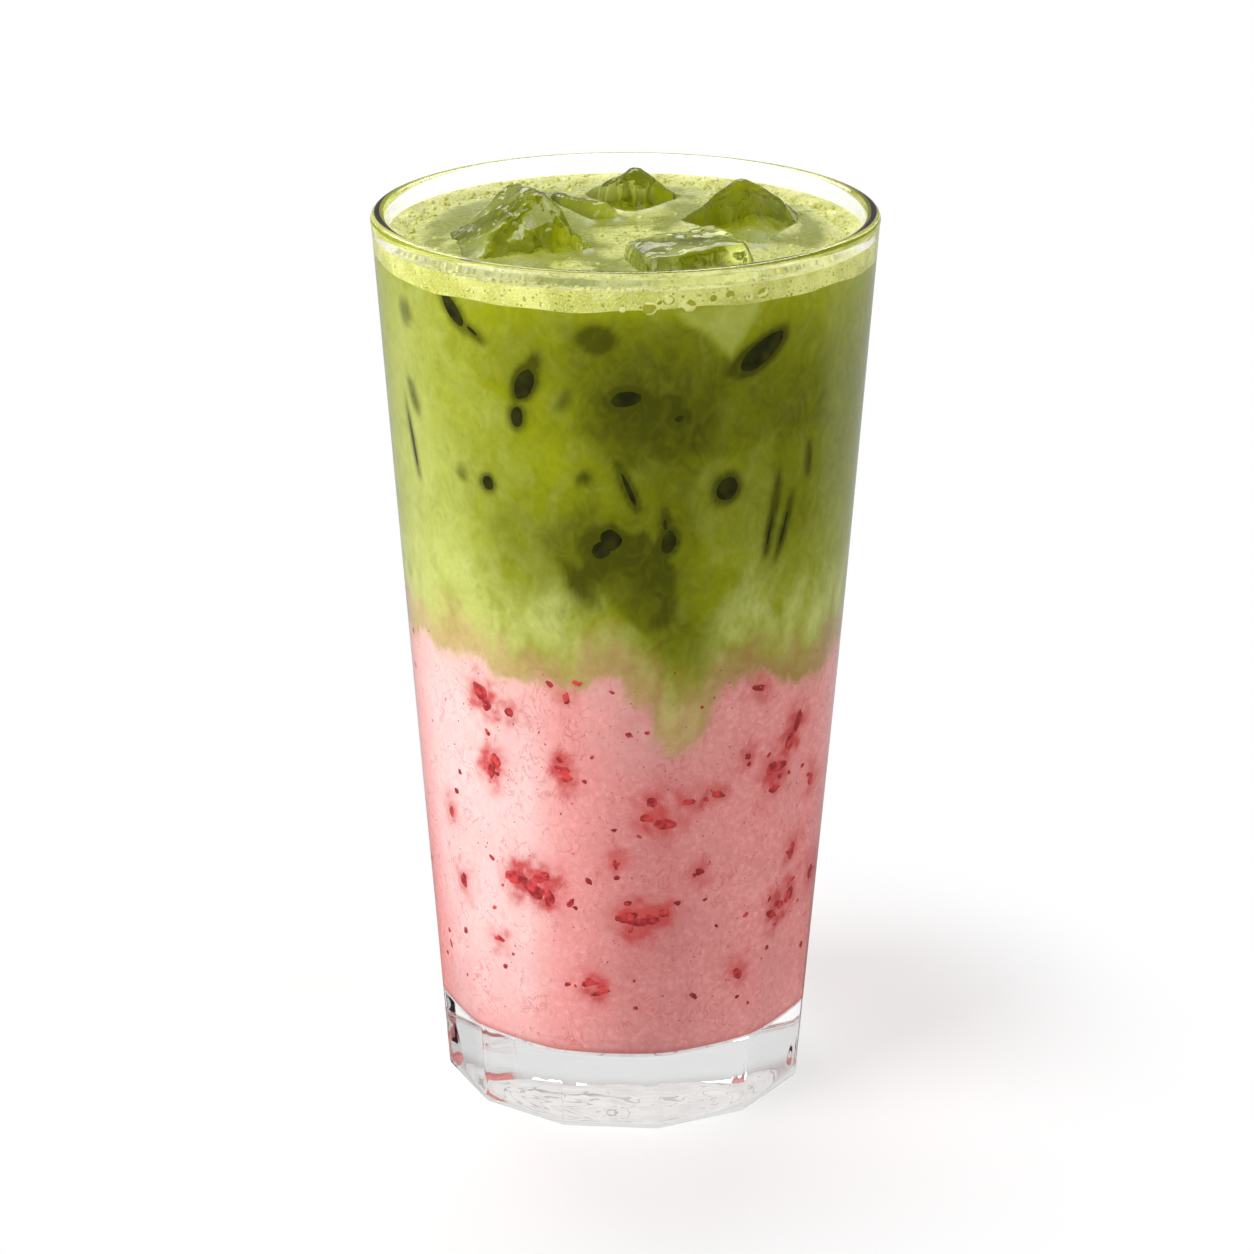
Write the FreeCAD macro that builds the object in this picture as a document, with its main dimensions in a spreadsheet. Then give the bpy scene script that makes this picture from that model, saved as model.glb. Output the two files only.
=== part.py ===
import FreeCAD, Part
import math
import os

import Sketcher

# An iced strawberry and matcha latte in a tall clear tumbler.
#
# Frame: millimetres, +Z up. The origin is on the table at the middle of the glass, and the front
# of the drink looks towards -Y.
#
# How it is put together
#   glass_tumbler    thick-walled glass, round at the rim, cut with flat panels towards its foot
#   strawberry_milk  the lower layer, from the glass floor up to the uneven boundary
#   matcha_milk      the upper layer, from the boundary up to the surface
#   foam_ring        froth that clings to the wall round the surface
#   ice_*            five half-melted blocks that float and stand out of the surface
#
# The driving sizes are in the sheet "sizes". Everything that has to fit something else is worked
# out from the same cells, so a change of one size carries through the whole drink.

SIZES = {
    # the glass
    "glass_height": 158.0,
    "rim_radius": 43.4,         # outside
    "foot_radius": 32.3,        # outside, across the corners between the panels
    "rim_wall": 2.7,
    "floor_wall": 3.2,          # the wall where it meets the floor
    "floor_thickness": 13.5,    # solid glass under the drink
    "floor_round": 3.0,
    "lip_round": 1.2,
    "foot_round": 0.9,
    "punt_radius": 25.0,        # the shallow hollow under the foot
    "punt_depth": 1.8,
    "panel_count": 12,
    "panel_span": 28.0,         # degrees that one flat panel takes up at the foot
    "panel_height": 88.0,       # where the panels run out into the round wall
    "panel_turn": -4.8,         # degrees that the panels are turned about the axis
    # the drink
    "headspace": 4.15,          # from the surface of the drink up to the rim
    "boundary_height": 91.0,    # where pink milk meets green, above the table
    "boundary_wave": 1.6,       # how far that boundary rises and falls
    "tongue_depth": 17.0,       # the deepest run of green down into the pink
    "tongue_width": 5.0,
    "foam_depth": 2.7,
    "foam_rise": 0.5,           # how far the froth creeps up the wall
    "foam_width": 5.6,
    "foam_wave": 0.9,           # unevenness of the froth's inner edge
    # the ice
    "ice_round": 2.4,           # melted edges
}

# The five blocks. Where each one floats: how far out and at which bearing in degrees, and how deep
# its middle lies under the surface. Then its three edges, and how it has tipped over, in degrees.
# Reach and edges are shares of the radius of the drink's surface, which the blocks have to fit.
BLOCK_SIZES = ("reach", "bearing", "sink", "length", "width", "depth", "yaw", "pitch", "roll")
BLOCKS = {
    "ice_front_left": (0.45, 204.0, 7.3, 0.50, 0.66, 0.58, -72.0, -7.0, -53.0),
    "ice_back": (0.52, 89.0, 9.0, 0.49, 0.54, 0.47, -36.0, -30.0, -134.0),
    "ice_right": (0.54, 13.0, 7.6, 0.57, 0.51, 0.52, -144.0, -32.0, 138.0),
    "ice_front": (0.63, -65.0, 4.7, 0.45, 0.46, 0.47, -72.0, -2.0, -175.0),
    "ice_middle": (0.44, 120.0, 2.5, 0.47, 0.25, 0.13, 122.0, 5.0, 128.0),
}
for label, block in BLOCKS.items():
    for name, value in zip(BLOCK_SIZES, block):
        SIZES[f"{label}_{name}"] = value

# each run of green down the wall into the pink: bearing in degrees, share of the deepest one's
# depth and share of its width
TONGUES = (
    (-76.0, 1.00, 1.0),
    (-118.0, 0.22, 1.6),
    (-35.0, 0.16, 1.4),
    (25.0, 0.45, 1.1),
    (100.0, 0.30, 1.5),
    (170.0, 0.55, 1.2),
)

MARGIN = 5.0            # how far a cutting tool runs past what it cuts
FOAM_OUTLINE_POINTS = 48
BOUNDARY_GRID = 41      # points each way across the boundary surface

LEVEL = "(sizes.glass_height - sizes.headspace)"
FLOOR = "sizes.floor_thickness"


def outer(height):
    """Expression for the outside radius of the glass at a height."""
    return ("(sizes.foot_radius + (sizes.rim_radius - sizes.foot_radius)"
            f" * ({height}) / sizes.glass_height)")


def inner(height):
    """Expression for the radius of the glass's inside wall at a height."""
    at_floor = f"({outer(FLOOR)} - sizes.floor_wall)"
    at_rim = "(sizes.rim_radius - sizes.rim_wall)"
    share = f"(({height}) - {FLOOR}) / (sizes.glass_height - {FLOOR})"
    return f"({at_floor} + ({at_rim} - {at_floor}) * {share})"


doc = FreeCAD.newDocument("iced_matcha_latte")
sheet = doc.addObject("Spreadsheet::Sheet", "sizes")
for row, (alias, value) in enumerate(SIZES.items(), start=1):
    sheet.set(f"A{row}", alias)
    sheet.set(f"B{row}", str(value))
    sheet.setAlias(f"B{row}", alias)
doc.recompute()


def measure(expression):
    """The number that an expression over the sheet comes to."""
    return float(sheet.evalExpression(expression))


def origin_part(body, role):
    """A body's own origin plane or axis."""
    return next(item for item in body.Origin.OriginFeatures if item.Role == role)


def new_body(label):
    body = doc.addObject("PartDesign::Body", label)
    body.Label = label
    return body


def outline_sketch(body, name, corners, plane="XZ_Plane"):
    """A closed outline of straight lines, each corner held by two expressions."""
    sketch = body.newObject("Sketcher::SketchObject", name)
    sketch.AttachmentSupport = [(origin_part(body, plane), "")]
    sketch.MapMode = "FlatFace"
    points = [FreeCAD.Vector(measure(x), measure(y), 0) for x, y in corners]
    for start, end in zip(points, points[1:] + points[:1]):
        sketch.addGeometry(Part.LineSegment(start, end), False)
    count = len(points)
    for index in range(count):
        sketch.addConstraint(Sketcher.Constraint("Coincident", index, 2, (index + 1) % count, 1))
    for index, (point, (x, y)) in enumerate(zip(points, corners)):
        for kind, axis, size, expression in (
            ("DistanceX", -2, point.x, x),
            ("DistanceY", -1, point.y, y),
        ):
            if expression == "0":
                sketch.addConstraint(Sketcher.Constraint("PointOnObject", index, 1, axis))
            else:
                held = sketch.addConstraint(Sketcher.Constraint(kind, -1, 1, index, 1, size))
                sketch.setExpression(f"Constraints[{held}]", expression)
    return sketch


def revolved(body, sketch):
    turned = body.newObject("PartDesign::Revolution", sketch.Name + "_turned")
    turned.Profile = sketch
    turned.ReferenceAxis = (sketch, ["V_Axis"])
    turned.Angle = 360.0
    sketch.Visibility = False
    doc.recompute()
    return turned


def edges_where(shape, test):
    """Names of a shape's edges whose two ends and middle all pass a test."""
    names = []
    for number, edge in enumerate(shape.Edges, start=1):
        first, last = edge.ParameterRange
        spots = [edge.valueAt(at) for at in (first, (first + last) / 2, last)]
        if all(test(spot) for spot in spots):
            names.append(f"Edge{number}")
    return names


def rounded(body, base, edges, radius):
    fillet = body.newObject("PartDesign::Fillet", "round")
    fillet.Base = (base, edges)
    fillet.setExpression("Radius", radius)
    doc.recompute()
    return fillet


def near(value, wanted):
    return abs(value - wanted) < 1e-4


def on_ring(radius, height):
    """A test for points on a circle about the axis."""
    wanted_radius = measure(radius)
    wanted_height = measure(height)
    return lambda spot: near(math.hypot(spot.x, spot.y), wanted_radius) and near(spot.z, wanted_height)


def make_glass():
    """The tumbler: its section turned about the axis, then the flat panels cut round the foot."""
    body = new_body("glass_tumbler")
    section = outline_sketch(body, "glass_section", [
        ("0", "sizes.punt_depth"),
        ("sizes.punt_radius", "0"),
        ("sizes.foot_radius", "0"),
        ("sizes.rim_radius", "sizes.glass_height"),
        ("sizes.rim_radius - sizes.rim_wall", "sizes.glass_height"),
        (inner(FLOOR), FLOOR),
        ("0", FLOOR),
    ])
    shell = revolved(body, section)

    lip_edges = edges_where(shell.Shape, on_ring("sizes.rim_radius", "sizes.glass_height"))
    lip_edges += edges_where(
        shell.Shape, on_ring("sizes.rim_radius - sizes.rim_wall", "sizes.glass_height"))
    lip = rounded(body, shell, lip_edges, "min(sizes.lip_round; sizes.rim_wall * 0.45)")
    well = rounded(body, lip, edges_where(lip.Shape, on_ring(inner(FLOOR), FLOOR)),
                   "sizes.floor_round")

    # one panel: everything outside a plane that leans out a little faster than the wall
    flat = "(sizes.foot_radius * cos(sizes.panel_span * 1deg / 2))"
    lean = f"(({outer('sizes.panel_height')} - {flat}) / sizes.panel_height)"
    outside = f"sizes.rim_radius + {MARGIN}"
    panel = outline_sketch(body, "panel_section", [
        (f"{flat} - {lean} * {MARGIN}", f"-{MARGIN}"),
        (f"{outer('sizes.panel_height')} + {lean} * {MARGIN}", f"sizes.panel_height + {MARGIN}"),
        (outside, f"sizes.panel_height + {MARGIN}"),
        (outside, f"-{MARGIN}"),
    ])
    cut = body.newObject("PartDesign::Pocket", "panel_cut")
    cut.Profile = panel
    cut.Midplane = True
    cut.setExpression("Length", "sizes.rim_radius * 2")
    doc.recompute()

    panels = body.newObject("PartDesign::PolarPattern", "panels")
    panels.Originals = [cut]
    panels.Axis = (origin_part(body, "Z_Axis"), [""])
    panels.Angle = 360.0
    panels.setExpression("Occurrences", "sizes.panel_count")
    body.Tip = panels
    doc.recompute()

    flat_radius = measure(flat)
    foot_edges = edges_where(
        panels.Shape,
        lambda spot: near(spot.z, 0.0) and math.hypot(spot.x, spot.y) > flat_radius - 1e-3)
    corner = "(sizes.foot_radius * (360 / sizes.panel_count - sizes.panel_span) * pi / 180)"
    foot = rounded(body, panels, foot_edges, f"min(sizes.foot_round; {corner} * 0.85)")
    body.Tip = foot
    body.Placement = FreeCAD.Placement(
        FreeCAD.Vector(), FreeCAD.Rotation(FreeCAD.Vector(0, 0, 1), 0.0))
    body.setExpression("Placement.Rotation.Angle", "sizes.panel_turn * 1deg")
    doc.recompute()
    return body


def make_fill():
    """The whole of what is poured in: the glass's inside from its floor up to the surface."""
    body = new_body("fill")
    section = outline_sketch(body, "fill_section", [
        ("0", FLOOR),
        (inner(FLOOR), FLOOR),
        (inner(LEVEL), LEVEL),
        ("0", LEVEL),
    ])
    poured = revolved(body, section)
    rounded(body, poured, edges_where(poured.Shape, on_ring(inner(FLOOR), FLOOR)),
            "sizes.floor_round")
    return body


def boundary_point(x, y):
    """The boundary between pink and green over one place: gentle waves, and runs at the wall."""
    wave = measure("sizes.boundary_wave")
    height = measure("sizes.boundary_height")
    height += wave * math.sin(x / 11.0 + 0.6) * math.cos(y / 13.0)
    height += 0.5 * wave * math.sin((x + y) / 6.5)
    wall = measure(inner("sizes.boundary_height"))
    depth = measure("sizes.tongue_depth")
    width = measure("sizes.tongue_width")
    for bearing, depth_share, width_share in TONGUES:
        away = math.hypot(x - wall * math.cos(math.radians(bearing)),
                          y - wall * math.sin(math.radians(bearing)))
        height -= depth * depth_share * math.exp(-(away / (width * width_share)) ** 2)
    return FreeCAD.Vector(x, y, height)


def make_lower_block():
    """All the space under the boundary surface, as a block wider than the glass."""
    reach = measure("sizes.rim_radius") + MARGIN
    step = 2 * reach / (BOUNDARY_GRID - 1)
    grid = [[boundary_point(-reach + step * i, -reach + step * j) for j in range(BOUNDARY_GRID)]
            for i in range(BOUNDARY_GRID)]
    surface = Part.BSplineSurface()
    surface.interpolate(grid)
    drop = FreeCAD.Vector(0, 0, -measure("sizes.boundary_height"))
    block = doc.addObject("Part::Feature", "lower_block")
    block.Shape = surface.toShape().extrude(drop)
    block.Placement = FreeCAD.Placement()
    return block


def foam_edge_radius(turn):
    """Radius of the froth's uneven inner edge at an angle in radians."""
    middle = measure(f"{inner(LEVEL)} - sizes.foam_width")
    wave = measure("sizes.foam_wave")
    return middle + wave * (math.sin(3 * turn + 0.4) + 0.6 * math.sin(7 * turn) + 0.4 * math.cos(11 * turn))


def make_foam_window():
    """A column with the uneven outline of the open surface inside the froth."""
    outline = []
    for index in range(FOAM_OUTLINE_POINTS):
        turn = 2 * math.pi * index / FOAM_OUTLINE_POINTS
        radius = foam_edge_radius(turn)
        low = measure(LEVEL) - measure("sizes.foam_depth") - MARGIN
        outline.append(FreeCAD.Vector(radius * math.cos(turn), radius * math.sin(turn), low))
    curve = Part.BSplineCurve()
    curve.interpolate(outline, PeriodicFlag=True)
    column = doc.addObject("Part::Feature", "foam_window")
    height = measure("sizes.foam_depth") + 2 * MARGIN
    column.Shape = Part.Face(Part.Wire(curve.toShape())).extrude(FreeCAD.Vector(0, 0, height))
    column.Placement = FreeCAD.Placement()
    return column


def make_foam_disc():
    """The froth before its middle is opened: level inside, creeping up the glass at the wall."""
    body = new_body("foam_disc")
    low = f"({LEVEL} - sizes.foam_depth)"
    high = f"({LEVEL} + sizes.foam_rise)"
    section = outline_sketch(body, "foam_section", [
        ("0", low),
        (inner(low), low),
        (inner(high), high),
        (f"{inner(LEVEL)} - sizes.foam_width / 2", LEVEL),
        ("0", LEVEL),
    ])
    revolved(body, section)
    return body


def make_ice(label):
    """One melted block: a rounded box about its own middle, set afloat at its place and tilt."""
    surface = inner(LEVEL)
    length, width, depth = (f"({surface} * sizes.{label}_{name})" for name in BLOCK_SIZES[3:6])
    body = new_body(label)
    face = outline_sketch(body, f"{label}_face", [
        (f"-{length} / 2", f"-{width} / 2"),
        (f"{length} / 2", f"-{width} / 2"),
        (f"{length} / 2", f"{width} / 2"),
        (f"-{length} / 2", f"{width} / 2"),
    ], plane="XY_Plane")
    block = body.newObject("PartDesign::Pad", f"{label}_block")
    block.Profile = face
    block.Midplane = True
    block.setExpression("Length", depth)
    doc.recompute()
    rounded(body, block, edges_where(block.Shape, lambda spot: True),
            f"min(sizes.ice_round; min({length}; {width}; {depth}) * 0.35)")
    tilt = (measure(f"sizes.{label}_{name}") for name in BLOCK_SIZES[6:])
    reach = f"{surface} * sizes.{label}_reach"
    bearing = f"sizes.{label}_bearing * 1deg"
    body.Placement = FreeCAD.Placement(FreeCAD.Vector(), FreeCAD.Rotation(*tilt))
    body.setExpression("Placement.Base.x", f"{reach} * cos({bearing})")
    body.setExpression("Placement.Base.y", f"{reach} * sin({bearing})")
    body.setExpression("Placement.Base.z", f"{LEVEL} - sizes.{label}_sink")
    doc.recompute()
    return body


def joined(label, shapes):
    group = doc.addObject("Part::MultiFuse", label)
    group.Shapes = shapes
    return group


def cut_away(label, base, tool):
    result = doc.addObject("Part::Cut", label)
    result.Label = label
    result.Base = base
    result.Tool = tool
    return result


glass = make_glass()
fill = make_fill()
lower_block = make_lower_block()
ice = [make_ice(label) for label in BLOCKS]

all_ice = joined("all_ice", ice)
froth = cut_away("froth", make_foam_disc(), make_foam_window())
foam_ring = cut_away("foam_ring", froth, all_ice)

strawberry_milk = doc.addObject("Part::Common", "strawberry_milk")
strawberry_milk.Base = fill
strawberry_milk.Tool = lower_block

upper_fill = cut_away("upper_fill", fill, lower_block)
matcha_milk = cut_away("matcha_milk", upper_fill, joined("not_matcha", [froth, all_ice]))
doc.recompute()

subparts = [glass, strawberry_milk, matcha_milk, foam_ring] + ice

for item in doc.Objects:
    broken = [state for state in item.State if state in ("Invalid", "Error")]
    if broken:
        raise RuntimeError(f"{item.Label} did not build: {broken}")
for subpart in subparts:
    if subpart.Shape.isNull() or not subpart.Shape.isValid():
        raise RuntimeError(f"{subpart.Label} has no valid shape")
    if len(subpart.Shape.Solids) != 1:
        raise RuntimeError(f"{subpart.Label} came out as {len(subpart.Shape.Solids)} solids")

os.makedirs("parts", exist_ok=True)
for subpart in subparts:
    subpart.Shape.exportStep(f"parts/{subpart.Label}.step")
    box = subpart.Shape.BoundBox
    print(f"{subpart.Label:16s} {subpart.Shape.Volume / 1000:8.2f} cm3   "
          f"x {box.XMin:7.2f} {box.XMax:7.2f}  y {box.YMin:7.2f} {box.YMax:7.2f}  "
          f"z {box.ZMin:7.2f} {box.ZMax:7.2f}")
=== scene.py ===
import math

import bmesh
import bpy
import numpy as np
from mathutils import Matrix, Vector, bvhtree, noise


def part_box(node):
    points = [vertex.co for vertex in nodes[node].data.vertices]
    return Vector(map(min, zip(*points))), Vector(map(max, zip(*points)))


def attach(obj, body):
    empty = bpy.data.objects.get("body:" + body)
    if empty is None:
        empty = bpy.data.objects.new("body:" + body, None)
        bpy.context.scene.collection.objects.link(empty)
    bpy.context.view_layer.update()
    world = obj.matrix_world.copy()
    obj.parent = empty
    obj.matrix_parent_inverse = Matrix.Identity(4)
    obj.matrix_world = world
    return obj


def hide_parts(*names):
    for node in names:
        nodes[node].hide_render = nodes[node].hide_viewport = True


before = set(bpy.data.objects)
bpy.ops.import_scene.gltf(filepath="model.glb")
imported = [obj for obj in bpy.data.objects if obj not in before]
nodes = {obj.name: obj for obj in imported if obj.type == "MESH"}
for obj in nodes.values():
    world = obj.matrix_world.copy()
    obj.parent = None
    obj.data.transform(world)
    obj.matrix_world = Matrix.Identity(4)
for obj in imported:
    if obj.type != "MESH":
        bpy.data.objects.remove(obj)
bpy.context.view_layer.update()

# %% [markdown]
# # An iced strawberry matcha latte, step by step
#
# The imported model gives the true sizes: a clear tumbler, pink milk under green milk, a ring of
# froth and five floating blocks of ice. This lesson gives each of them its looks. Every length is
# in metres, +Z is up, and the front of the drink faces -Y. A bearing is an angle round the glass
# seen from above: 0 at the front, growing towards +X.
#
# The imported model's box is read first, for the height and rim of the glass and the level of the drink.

MM = 0.001
glass_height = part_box("glass_tumbler")[1].z
rim_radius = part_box("glass_tumbler")[1].x
drink_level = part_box("matcha_milk")[1].z
print("glass", round(glass_height / MM, 2), "mm tall, rim radius", round(rim_radius / MM, 2),
      "mm, drink up to", round(drink_level / MM, 2), "mm")

# %% [markdown]
# ## The camera
#
# The drink is seen from a little above, from nearly 0.7 m away, with a long lens. A long lens keeps
# the sides of the glass almost parallel. The camera looks at a point a little above the middle of
# the glass, so `to_track_quat` can turn it: it makes the camera's -Z axis point along a direction.

# %% Set up the camera
LENS = 113.0
AIM = Vector((0.25 * MM, 0.0, 82.5 * MM))
DISTANCE = 693.7 * MM
ELEVATION = math.radians(19.89)

scene = bpy.context.scene
camera_data = bpy.data.cameras.new("camera")
camera_data.lens = LENS
camera_data.sensor_width = 36.0
camera_data.clip_start = 0.01
camera = bpy.data.objects.new("camera", camera_data)
scene.collection.objects.link(camera)
away = Vector((0.0, -math.cos(ELEVATION), math.sin(ELEVATION)))
camera.location = AIM + away * DISTANCE
camera.rotation_euler = (-away).to_track_quat("-Z", "Y").to_euler()
scene.camera = camera
print("camera at", [round(v / MM, 1) for v in camera.location], "mm")

# %% [markdown]
# ## The studio
#
# A drink like this is lit by a large soft lamp from the left and a little in front, one from above
# and behind, and a weaker one from the right, with white paper under and behind it. Glass shows
# its surroundings more than itself, so the world has a bright side and darker stretches: those
# draw the thin dark lines along the glass's edges. What the camera sees straight on stays white.

# %% Light the studio and lay the floor
def new_material(name):
    material = bpy.data.materials.new(name)
    material.use_nodes = True
    material.node_tree.nodes.clear()
    return material, material.node_tree


def put(tree, value, target):
    """Set an input to a value, or link it if the value is another node's output."""
    if isinstance(value, bpy.types.NodeSocket):
        tree.links.new(value, target)
    elif target.type == "RGBA":
        target.default_value = (*value, 1)
    else:
        target.default_value = value


def add(tree, kind, **values):
    """A node of a kind, with its properties and inputs set by name."""
    node = tree.nodes.new("ShaderNode" + kind)
    for name, value in values.items():
        if hasattr(node, name):
            setattr(node, name, value)
        else:
            put(tree, value, node.inputs[name.replace("_", " ")])
    return node


def maths(tree, operation, *values, clamp=False):
    """One Math node. Each value is an output or a number."""
    node = add(tree, "Math", operation=operation, use_clamp=clamp)
    for slot, value in enumerate(values):
        put(tree, value, node.inputs[slot])
    return node.outputs[0]


def between(tree, value, low, high, at_low=0.0, at_high=1.0):
    """A number that goes smoothly from at_low to at_high while value goes from low to high."""
    node = add(tree, "MapRange", interpolation_type="SMOOTHSTEP", Value=value,
               From_Min=low, From_Max=high, To_Min=at_low, To_Max=at_high)
    return node.outputs[0]


def switch(tree, factor, at_none, at_all):
    """The first shader where the factor is 0, and the second where it is 1."""
    node = add(tree, "MixShader")
    for slot, value in enumerate((factor, at_none, at_all)):
        put(tree, value, node.inputs[slot])
    return node.outputs[0]


GLASS_MIDDLE = Vector((0, 0, 80 * MM))


def soft_lamp(name, place, width, height, watts):
    """A rectangular lamp that faces the middle of the glass."""
    data = bpy.data.lights.new(name, "AREA")
    data.shape = "RECTANGLE"
    data.size = width
    data.size_y = height
    data.energy = watts
    lamp = bpy.data.objects.new(name, data)
    lamp.location = place
    lamp.rotation_euler = (GLASS_MIDDLE - Vector(place)).to_track_quat("-Z", "Y").to_euler()
    scene.collection.objects.link(lamp)


soft_lamp("key_lamp", (-0.66, -0.36, 0.55), 0.55, 0.70, 6.6)
soft_lamp("back_lamp", (-0.10, 0.75, 0.80), 0.80, 0.50, 5.0)
soft_lamp("fill_lamp", (0.80, -0.25, 0.55), 0.60, 0.60, 3.0)

world = bpy.data.worlds.new("studio")
scene.world = world
world.use_nodes = True
sky = world.node_tree
sky.nodes.clear()
direction = add(sky, "TexCoord").outputs["Generated"]
split = add(sky, "SeparateXYZ", Vector=direction).outputs
overhead = between(sky, split["Z"], 0.42, 0.80, 1.0, 0.35)
MIRRORED_SHARE = 0.30       # how bright the room is in mirrored light


def backdrop(start, full, least):
    """White behind the glass, dark in front of it and dim overhead."""
    behind = between(sky, split["Y"], start, full, least, 1.0)
    return maths(sky, "MULTIPLY", behind, overhead)


def background(strength):
    return add(sky, "Background", Strength=strength).outputs[0]


ray = add(sky, "LightPath").outputs
look = background(between(sky, split["X"], -0.7, 0.8, 0.55, 0.16))
for kind, strength in (
        ("Is Glossy Ray", maths(sky, "MULTIPLY", backdrop(0.20, 0.75, 0.15), MIRRORED_SHARE)),
        ("Is Transmission Ray", backdrop(-0.20, 0.30, 0.38)),
        ("Is Camera Ray", 1.0)):
    look = switch(sky, ray[kind], look, background(strength))
add(sky, "OutputWorld", Surface=look)

FLOOR_REACH = 6.0
SHADOW_REACH = (0.056, 0.112)       # the floor's shadow fades out between these distances
bpy.ops.mesh.primitive_plane_add(size=2 * FLOOR_REACH)
floor = bpy.context.object
floor.name = "floor"
floor.location.z = -0.04 * MM       # a hair of air under the foot, as under any real glass
paper_material, tree = new_material("white_paper")


def paper(grey, glow=0.0):
    """Matt paper of a lightness that may also glow a little."""
    sheet = add(tree, "BsdfPrincipled", Base_Color=(grey, grey, grey), Roughness=0.9,
                Specular_IOR_Level=0.0)
    if not glow:
        return sheet.outputs[0]
    both = add(tree, "AddShader")
    put(tree, sheet.outputs[0], both.inputs[0])
    put(tree, add(tree, "Emission", Strength=glow).outputs[0], both.inputs[1])
    return both.outputs[0]


spot = add(tree, "TexCoord").outputs["Object"]
from_glass = add(tree, "VectorMath", operation="LENGTH")
put(tree, spot, from_glass.inputs[0])
fade = between(tree, from_glass.outputs["Value"], *SHADOW_REACH)
front = between(tree, add(tree, "SeparateXYZ", Vector=spot).outputs["Y"], 0.03, 0.15, 1.0, 0.6)
ray = add(tree, "LightPath").outputs
only_mirrored = maths(tree, "SUBTRACT", ray["Is Glossy Ray"], ray["Is Transmission Ray"], clamp=True)
white = add(tree, "Emission", Strength=1.0).outputs[0]
look = switch(tree, fade, paper(0.65, 0.32), white)
look = switch(tree, maths(tree, "MULTIPLY", only_mirrored, front), look, paper(0.10))
look = switch(tree, ray["Is Transmission Ray"], look, paper(0.12, 1.0))
look = switch(tree, ray["Is Diffuse Ray"], look, paper(0.86))
add(tree, "OutputMaterial", Surface=look)
floor.data.materials.append(paper_material)
scene.view_settings.view_transform = "Standard"

# %% [markdown]
# ## The shape of the tumbler
#
# Pressed glass like this starts as a plain cone and is cut with twelve flat panels that run out
# half way up. At each bearing the outside is whichever lies nearer the axis, the cone or the
# panel's plane. Real glass has no knife-sharp edge between two panels, so a soft minimum rounds
# them by a fraction of a millimetre. The drink inside needs the same inside wall, so both
# are small functions of height.

# %% Describe the tumbler's walls
FOOT_RADIUS = 32.3 * MM
RIM_WALL = 2.7 * MM
FLOOR_WALL = 3.2 * MM
FLOOR_THICKNESS = 13.5 * MM
PANELS = 12
PANEL_SPAN = math.radians(28.0)
PANEL_HEIGHT = 88.0 * MM
PANEL_TURN = math.radians(85.2)
EDGE_SOFTNESS = 0.12 * MM
RIDGE_RISE = 0.11 * MM      # the fine ridge the mould leaves between two panels
RIDGE_WIDTH = 0.42 * MM


def cone_radius(height):
    return FOOT_RADIUS + (rim_radius - FOOT_RADIUS) * height / glass_height


def wall_radius(height):
    """Radius of the inside wall at a height."""
    at_floor = cone_radius(FLOOR_THICKNESS) - FLOOR_WALL
    share = (height - FLOOR_THICKNESS) / (glass_height - FLOOR_THICKNESS)
    return at_floor + (rim_radius - RIM_WALL - at_floor) * share


def outside_radius(height, bearing):
    """Radius of the outside at a height and bearing: the cone, or a panel's plane if nearer."""
    at_foot = FOOT_RADIUS * math.cos(PANEL_SPAN / 2)
    lean = (cone_radius(PANEL_HEIGHT) - at_foot) / PANEL_HEIGHT
    step = 2 * np.pi / PANELS
    from_middle = (bearing - PANEL_TURN + step / 2) % step - step / 2
    flat = (at_foot + lean * height) / np.cos(from_middle)
    cone = cone_radius(height)
    nearer = np.minimum(flat, cone)
    gap = np.abs(flat - cone)
    from_edge = (step / 2 - np.abs(from_middle)) * cone
    ridge = RIDGE_RISE * np.exp(-(from_edge / RIDGE_WIDTH) ** 2)
    ridge = ridge * np.clip(1 - height / PANEL_HEIGHT, 0, 1)
    return nearer - EDGE_SOFTNESS * np.log1p(np.exp(-gap / EDGE_SOFTNESS)) + ridge


def around(radius, bearing, height):
    """Points at a radius, bearing and height."""
    radius, bearing, height = np.broadcast_arrays(radius, bearing, height)
    return np.stack([radius * np.sin(bearing), -radius * np.cos(bearing), height], -1)


print("inside wall radius at the surface", round(wall_radius(drink_level) / MM, 2), "mm")

# %% [markdown]
# ## Turning rings into a mesh
#
# Most pieces here are round, so they are built from rings of points, each ring joined to the next
# with four-sided faces. NumPy makes all the points at once, which is much quicker than adding
# them one by one, and `from_pydata` makes the mesh.

# %% Define helpers that skin a stack of rings
def skin(rings, columns):
    """Four-sided faces between rings of equal size."""
    ring = np.arange(rings - 1)[:, None] * columns
    column = np.arange(columns)[None, :]
    after = (column + 1) % columns
    faces = np.stack([ring + column, ring + after, ring + columns + after, ring + columns + column], -1)
    return faces.reshape(-1, 4)


def object_from(name, points, faces, material=None):
    mesh = bpy.data.meshes.new(name)
    mesh.from_pydata(np.asarray(points).tolist(), [], [list(face) for face in faces])
    mesh.validate()
    for polygon in mesh.polygons:
        polygon.use_smooth = True
    piece = bpy.data.objects.new(name, mesh)
    scene.collection.objects.link(piece)
    if material is not None:
        mesh.materials.append(material)
    return piece


def capped_rings(points, first_centre, last_centre):
    """A closed skin over an array of rings (ring, column, xyz) with a point closing each end."""
    rings, columns = points.shape[:2]
    flat = list(points.reshape(-1, 3))
    faces = [list(face) for face in skin(rings, columns)]
    first = len(flat)
    flat += [first_centre, last_centre]
    last_ring = (rings - 1) * columns
    for column in range(columns):
        after = (column + 1) % columns
        faces.append([first, after, column])
        faces.append([first + 1, last_ring + column, last_ring + after])
    return np.array(flat), faces


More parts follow.
